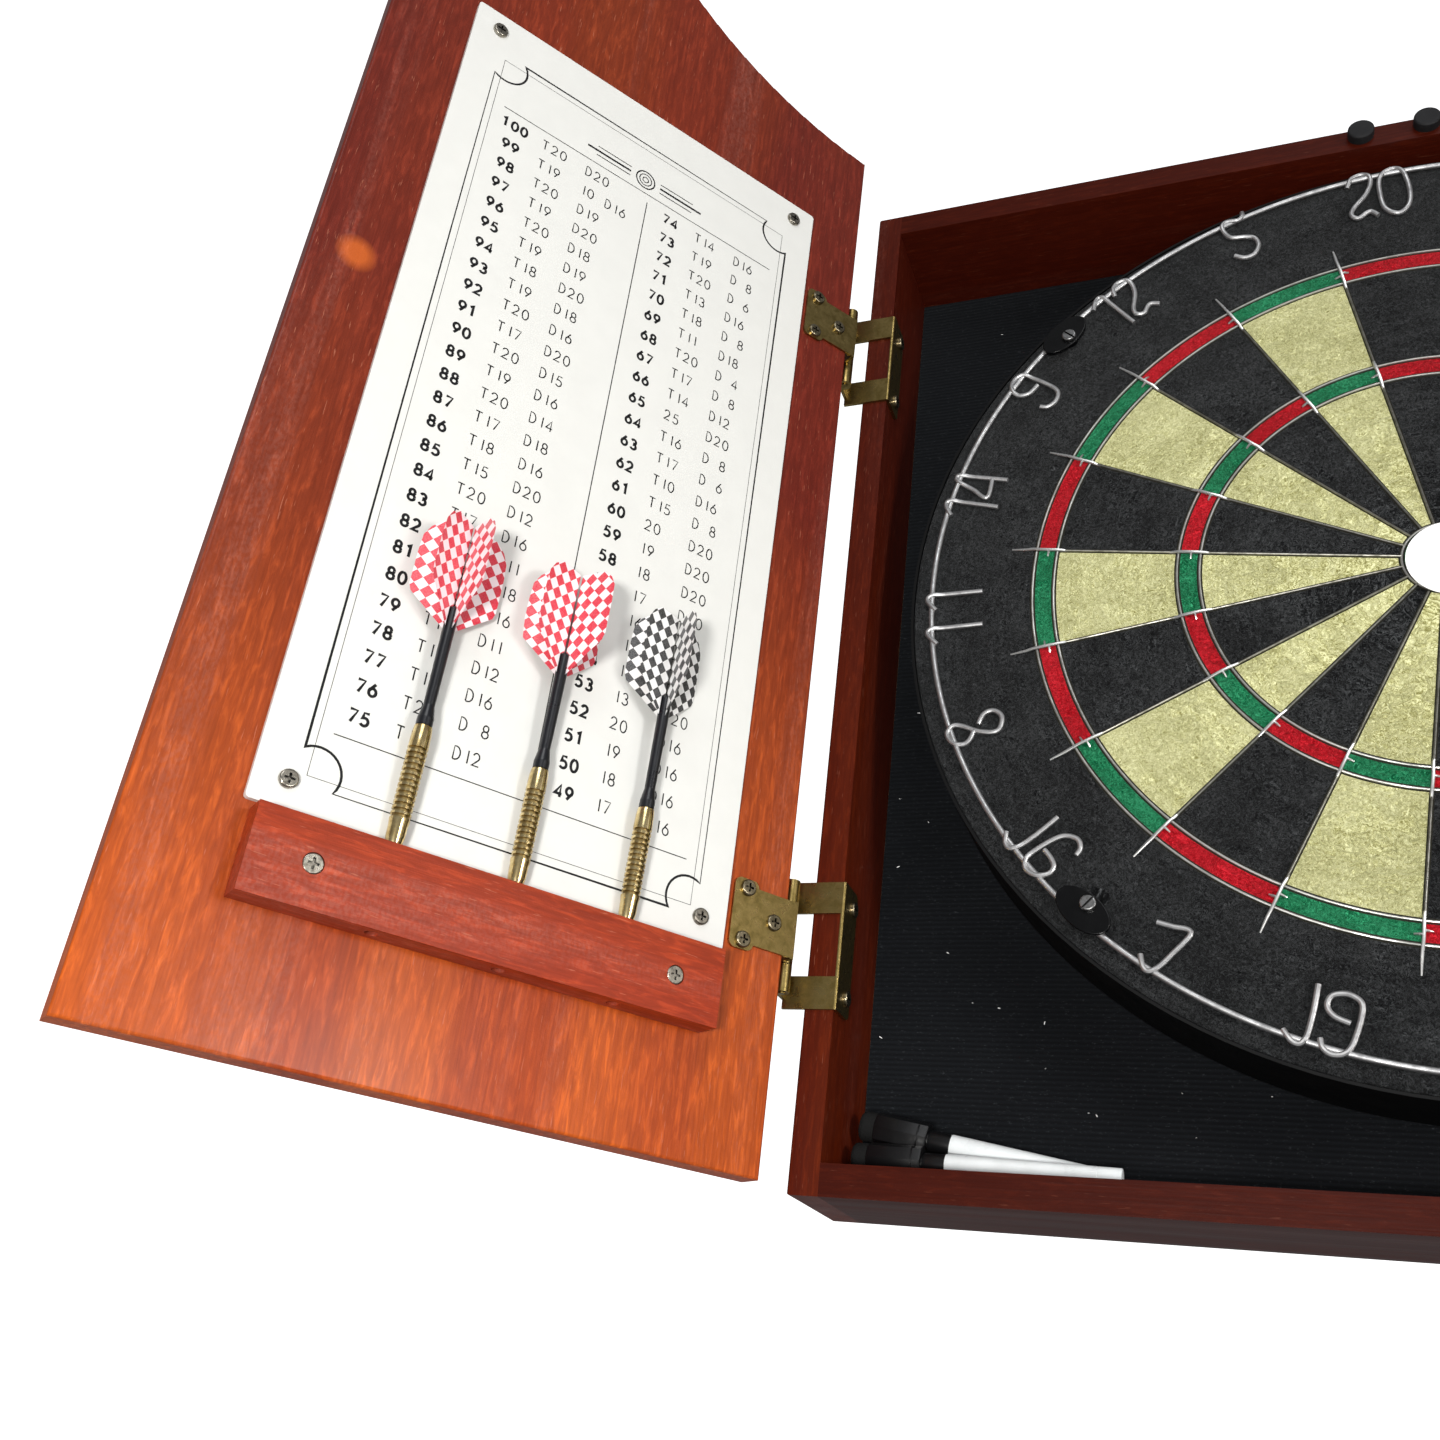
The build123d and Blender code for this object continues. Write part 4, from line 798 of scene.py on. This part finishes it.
# along the shaft and out to the edge, in millimetres
OUTLINE = [(0, 2.2), (13, 17.0), (16, 18.0), (30, 18.0), (37, 17.6), (41, 15.4), (43.9, 11.6)]
ROOT = 0.6
CHECK = 5.5                      # side of the printed squares, turned onto their corners
BARREL, GROOVE_RADIUS = 3.65, 3.05
for number in (1, 2, 3):
    axis = -Vector(joints[f"dart_{number}_lift"]["axis"]).normalized()
    spot = centre_of(f"dart_{number}_barrel")
    low, high = reach(f"dart_{number}_barrel", axis)
    foot = spot + axis * (low - spot.dot(axis))
    length = high - low
    barrel = Shape()
    profile = [(0.0, 2.2), (0.3, 2.7), (3.4, 3.3), (7.6, 3.4), (9.4, BARREL)]
    place_mm = 10.2
    while place_mm < 35.5:
        profile += [(place_mm, BARREL), (place_mm + 0.2, GROOVE_RADIUS),
                    (place_mm + 0.95, GROOVE_RADIUS), (place_mm + 1.15, BARREL)]
        place_mm += 2.1
    profile += [(37.2, BARREL), (42.6, 3.5), (length / MM - 0.4, 3.2), (length / MM, 2.6)]
    lathe(barrel, foot, axis, [(a * MM, r * MM) for a, r in profile],
          [1 if r == GROOVE_RADIUS else 0 for _, r in profile[1:]])
    obj = barrel.piece(f"dart_{number}_barrel_turned", [DART_BRASS, DART_GROOVE], f"dart_{number}",
                       sharp=24)
    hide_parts(f"dart_{number}_barrel")

    flight = Shape()
    root = centre_of(f"dart_{number}_shaft")
    start = reach(f"dart_{number}_flight", axis)[0]
    root += axis * (start - root.dot(axis))
    lean = axis.cross(ACROSS)
    bend = LOOSE.uniform(0.4, 0.9)
    for angle in FINS[number]:
        turn = math.radians(angle)
        way = ACROSS * math.cos(turn) + lean * math.sin(turn)
        bow = way.cross(axis)
        rows, film = [], []
        for i in range(len(OUTLINE) * 3 - 2):
            k, f = divmod(i, 3)
            here, there = OUTLINE[k], OUTLINE[min(k + 1, len(OUTLINE) - 1)]
            a, wide = (here[n] + (there[n] - here[n]) * f / 3 for n in (0, 1))
            for j in range(7):
                r = ROOT + (wide - ROOT) * j / 6
                curl = bend * math.sin(r / 18 * 2.4) * math.sin(a / 44 * 3.1)
                rows.append(root + axis * (a * MM) + way * (r * MM) + bow * (curl * MM))
                film.append(((r + a) / CHECK, (r - a) / CHECK))
        for i in range(len(OUTLINE) * 3 - 3):
            for j in range(6):
                corners = (i * 7 + j, i * 7 + j + 1, (i + 1) * 7 + j + 1, (i + 1) * 7 + j)
                flight.face([rows[c] for c in corners], 0, [film[c] for c in corners])
    wings = flight.piece(f"dart_{number}_flight_film", [FILM_BLACK if number == 3 else FILM_RED],
                         f"dart_{number}")
    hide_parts(f"dart_{number}_flight")
    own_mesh(wings)

# ---------------------------------------------------------------- marker pens
# Profiles are (along, radius) in millimetres: from the closed end of the cap, or from where the
# barrel starts inside it, or back from the barrel's tail.
NECK_END = 38.0
PEN_NIB = ((0, 0.6), (0.1, 1.3), (3, 2.0), (5, 3.7))
PEN_NECK = ((28.8, 3.7), (28.95, 4.2), (29.3, 4.4), (NECK_END, 4.4))
PEN_SHOULDER = ((NECK_END - 0.1, 4.2), (NECK_END, 4.5), (NECK_END + 0.3, 4.6))
PEN_TAIL = ((9.4, 4.6), (9.3, 4.52), (9.1, 4.52), (9.0, 4.6), (0.5, 4.6), (0.1, 4.4), (0, 4.0), (0, 1.0))
CAP_ERASER = ((0, 2), (0.1, 5.1), (1.0, 6.0), (2, 6.2), (6.4, 6.2), (6.5, 5.5))
CAP_BODY = ((6.4, 5.0), (6.5, 6.5), (7.1, 6.9), (27.9, 6.9), (28.5, 6.6), (28.5, 4.7))
CAP_BEAD = ((24.2, 6.0), (24.4, 6.88), (25.0, 6.88), (25.2, 6.0))


def profile_of(steps, start=0.0, way=1):
    """A profile in metres, its lengths measured from start."""
    return [(start + way * a * MM, r * MM) for a, r in steps]


for number, barrel_body, cap_body in ((1, "pen_1_barrel", "pen_1_cap"), (2, "pen_2", "pen_2")):
    spots = np.array([v.co for v in nodes[f"pen_{number}_barrel"].data.vertices])
    middle = spots.mean(axis=0)
    axis = Vector(np.linalg.svd(spots - middle)[2][0])
    axis *= 1 if axis.x > 0 else -1
    foot = Vector(middle) + axis * (reach(f"pen_{number}_cap", axis)[0] - Vector(middle).dot(axis))
    inner, tail = (v - foot.dot(axis) for v in reach(f"pen_{number}_barrel", axis))
    barrel = Shape()
    lathe(barrel, foot, axis, profile_of(PEN_NIB, inner) + profile_of(PEN_NECK), 1)
    lathe(barrel, foot, axis, profile_of(PEN_SHOULDER) + profile_of(PEN_TAIL, tail, -1), 0)
    moulded = barrel.piece(f"pen_{number}_barrel_moulded", [PEN_WHITE, PEN_BLACK], barrel_body)
    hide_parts(f"pen_{number}_barrel")
    cap = Shape()
    lathe(cap, foot, axis, profile_of(CAP_ERASER), 1)
    lathe(cap, foot, axis, profile_of(CAP_BODY), 0, 8)
    lathe(cap, foot, axis, profile_of(CAP_BEAD), 0, 24)
    moulded = cap.piece(f"pen_{number}_cap_moulded", [PEN_BLACK, ERASER], cap_body)
    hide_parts(f"pen_{number}_cap")

# ---------------------------------------------------------------- cloth lining
low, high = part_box("backing_cloth")
lining = Shape()
columns, lines_up = 60, 60
front = []
for row in range(lines_up + 1):
    z = low.z + (high.z - low.z) * row / lines_up
    front.append([])
    for column in range(columns + 1):
        x = low.x + (high.x - low.x) * column / columns
        ripple = 0.12 * MM * math.sin(x * 21 + 3 * math.sin(z * 9)) * math.sin(z * 17 + 1.3)
        front[-1].append(Vector((x, low.y + 0.15 * MM + ripple, z)))
lining.grid(front)
edge = front[0] + [row[-1] for row in front[1:]] + front[-1][-2::-1] + [row[0] for row in front[-2:0:-1]]
behind = [Vector((p.x, high.y - 0.05 * MM, p.z)) for p in edge]
lining.grid([edge, behind], wrap=True)
lining.cap(behind)
felt = lining.piece("lining_felt", [FELT], "cabinet")
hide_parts("backing_cloth")

lint = Shape()
for _ in range(170):
    x = LOOSE.uniform(low.x + 0.004, high.x - 0.004)
    z = LOOSE.uniform(low.z + 0.004, high.z - 0.004)
    size = LOOSE.choice((0.16, 0.2, 0.24, 0.3, 0.45)) * MM
    turn = LOOSE.uniform(0, 6.28)
    spot = Vector((x, low.y - 0.08 * MM, z))
    along = Vector((math.cos(turn), 0, math.sin(turn))) * size * LOOSE.uniform(1, 2.2)
    lint.tube([spot - along, spot + Vector((0, -size * 0.4, 0)), spot + along],
              [size * 0.3, size * 0.55, size * 0.25], 0, 5)
lint.piece("lining_lint", [STICKER], "cabinet", smooth=False)

# ---------------------------------------------------------------- studio
floor = Shape()
FLOOR_Z = BOARD.z - 1.73           # the board's centre hangs at its regulation height
WIDE, NEAR, FAR = 24, -12, 9       # half width, front and back of the stage
floor.face([(-WIDE, NEAR, FLOOR_Z), (WIDE, NEAR, FLOOR_Z), (WIDE, FAR, FLOOR_Z), (-WIDE, FAR, FLOOR_Z)])
FLOOR = plastic("studio_floor", (0.78, 0.78, 0.77), 0.7, 0.0001, 20, 1.02)


def staged(shape, name, finish):
    mesh = bpy.data.meshes.new(name)
    mesh.from_pydata(shape.points, [], shape.faces)
    mesh.materials.append(finish)
    obj = bpy.data.objects.new(name, mesh)
    bpy.context.scene.collection.objects.link(obj)
    obj.visible_glossy = False


staged(floor, "studio_floor", FLOOR)
backdrop = Shape()
backdrop.face([(-WIDE, FAR, FLOOR_Z), (WIDE, FAR, FLOOR_Z), (WIDE, FAR, WIDE), (-WIDE, FAR, WIDE)])
PAPER = plastic("studio_paper", (0.9, 0.9, 0.9), 0.9, 0.0, 20, 1.0,
                Emission_Color=(1, 1, 1, 1), Emission_Strength=1.0)
staged(backdrop, "studio_paper", PAPER)


def soft_light(name, place, aim, size, power, colour=(1, 1, 1)):
    data = bpy.data.lights.new(name, "AREA")
    data.shape = "DISK"
    data.size = size
    data.energy = power
    data.color = colour
    obj = bpy.data.objects.new(name, data)
    obj.location = place
    obj.rotation_euler = (Vector(aim) - Vector(place)).to_track_quat("-Z", "Y").to_euler()
    bpy.context.scene.collection.objects.link(obj)


soft_light("key_light", (-0.04, -1.16, -0.5), (-0.25, -0.1, 0.0), 0.16, 11.5, (1.0, 0.985, 0.96))
soft_light("right_light", (0.85, -0.62, -0.1), (-0.3, -0.15, 0.0), 0.3, 6.0, (1.0, 0.99, 0.97))
soft_light("top_light", (0.5, -1.8, 1.2), (0.0, -0.1, 0.0), 1.2, 14.0, (0.97, 0.985, 1.0))

world = bpy.data.worlds.new("studio_world")
bpy.context.scene.world = world
world.use_nodes = True
world.node_tree.nodes["Background"].inputs["Color"].default_value = (0.97, 0.98, 1.0, 1)
world.node_tree.nodes["Background"].inputs["Strength"].default_value = 0.24
bpy.context.scene.view_settings.view_transform = "Standard"

# ---------------------------------------------------------------- camera
lens = bpy.data.cameras.new("camera")
lens.lens = 34.84
lens.sensor_width = 36
lens.shift_x = -0.0135
lens.shift_y = 0.0136
lens.clip_start = 0.01
camera = bpy.data.objects.new("camera", lens)
camera.location = (-0.0738, -0.5915, -0.3397)
looking = Vector((-0.35236, 0.82646, 0.43910))
roll = Quaternion((0, 0, 1), math.radians(7.3))
camera.rotation_euler = (looking.to_track_quat("-Z", "Y") @ roll).to_euler()
bpy.context.scene.collection.objects.link(camera)
bpy.context.scene.camera = camera
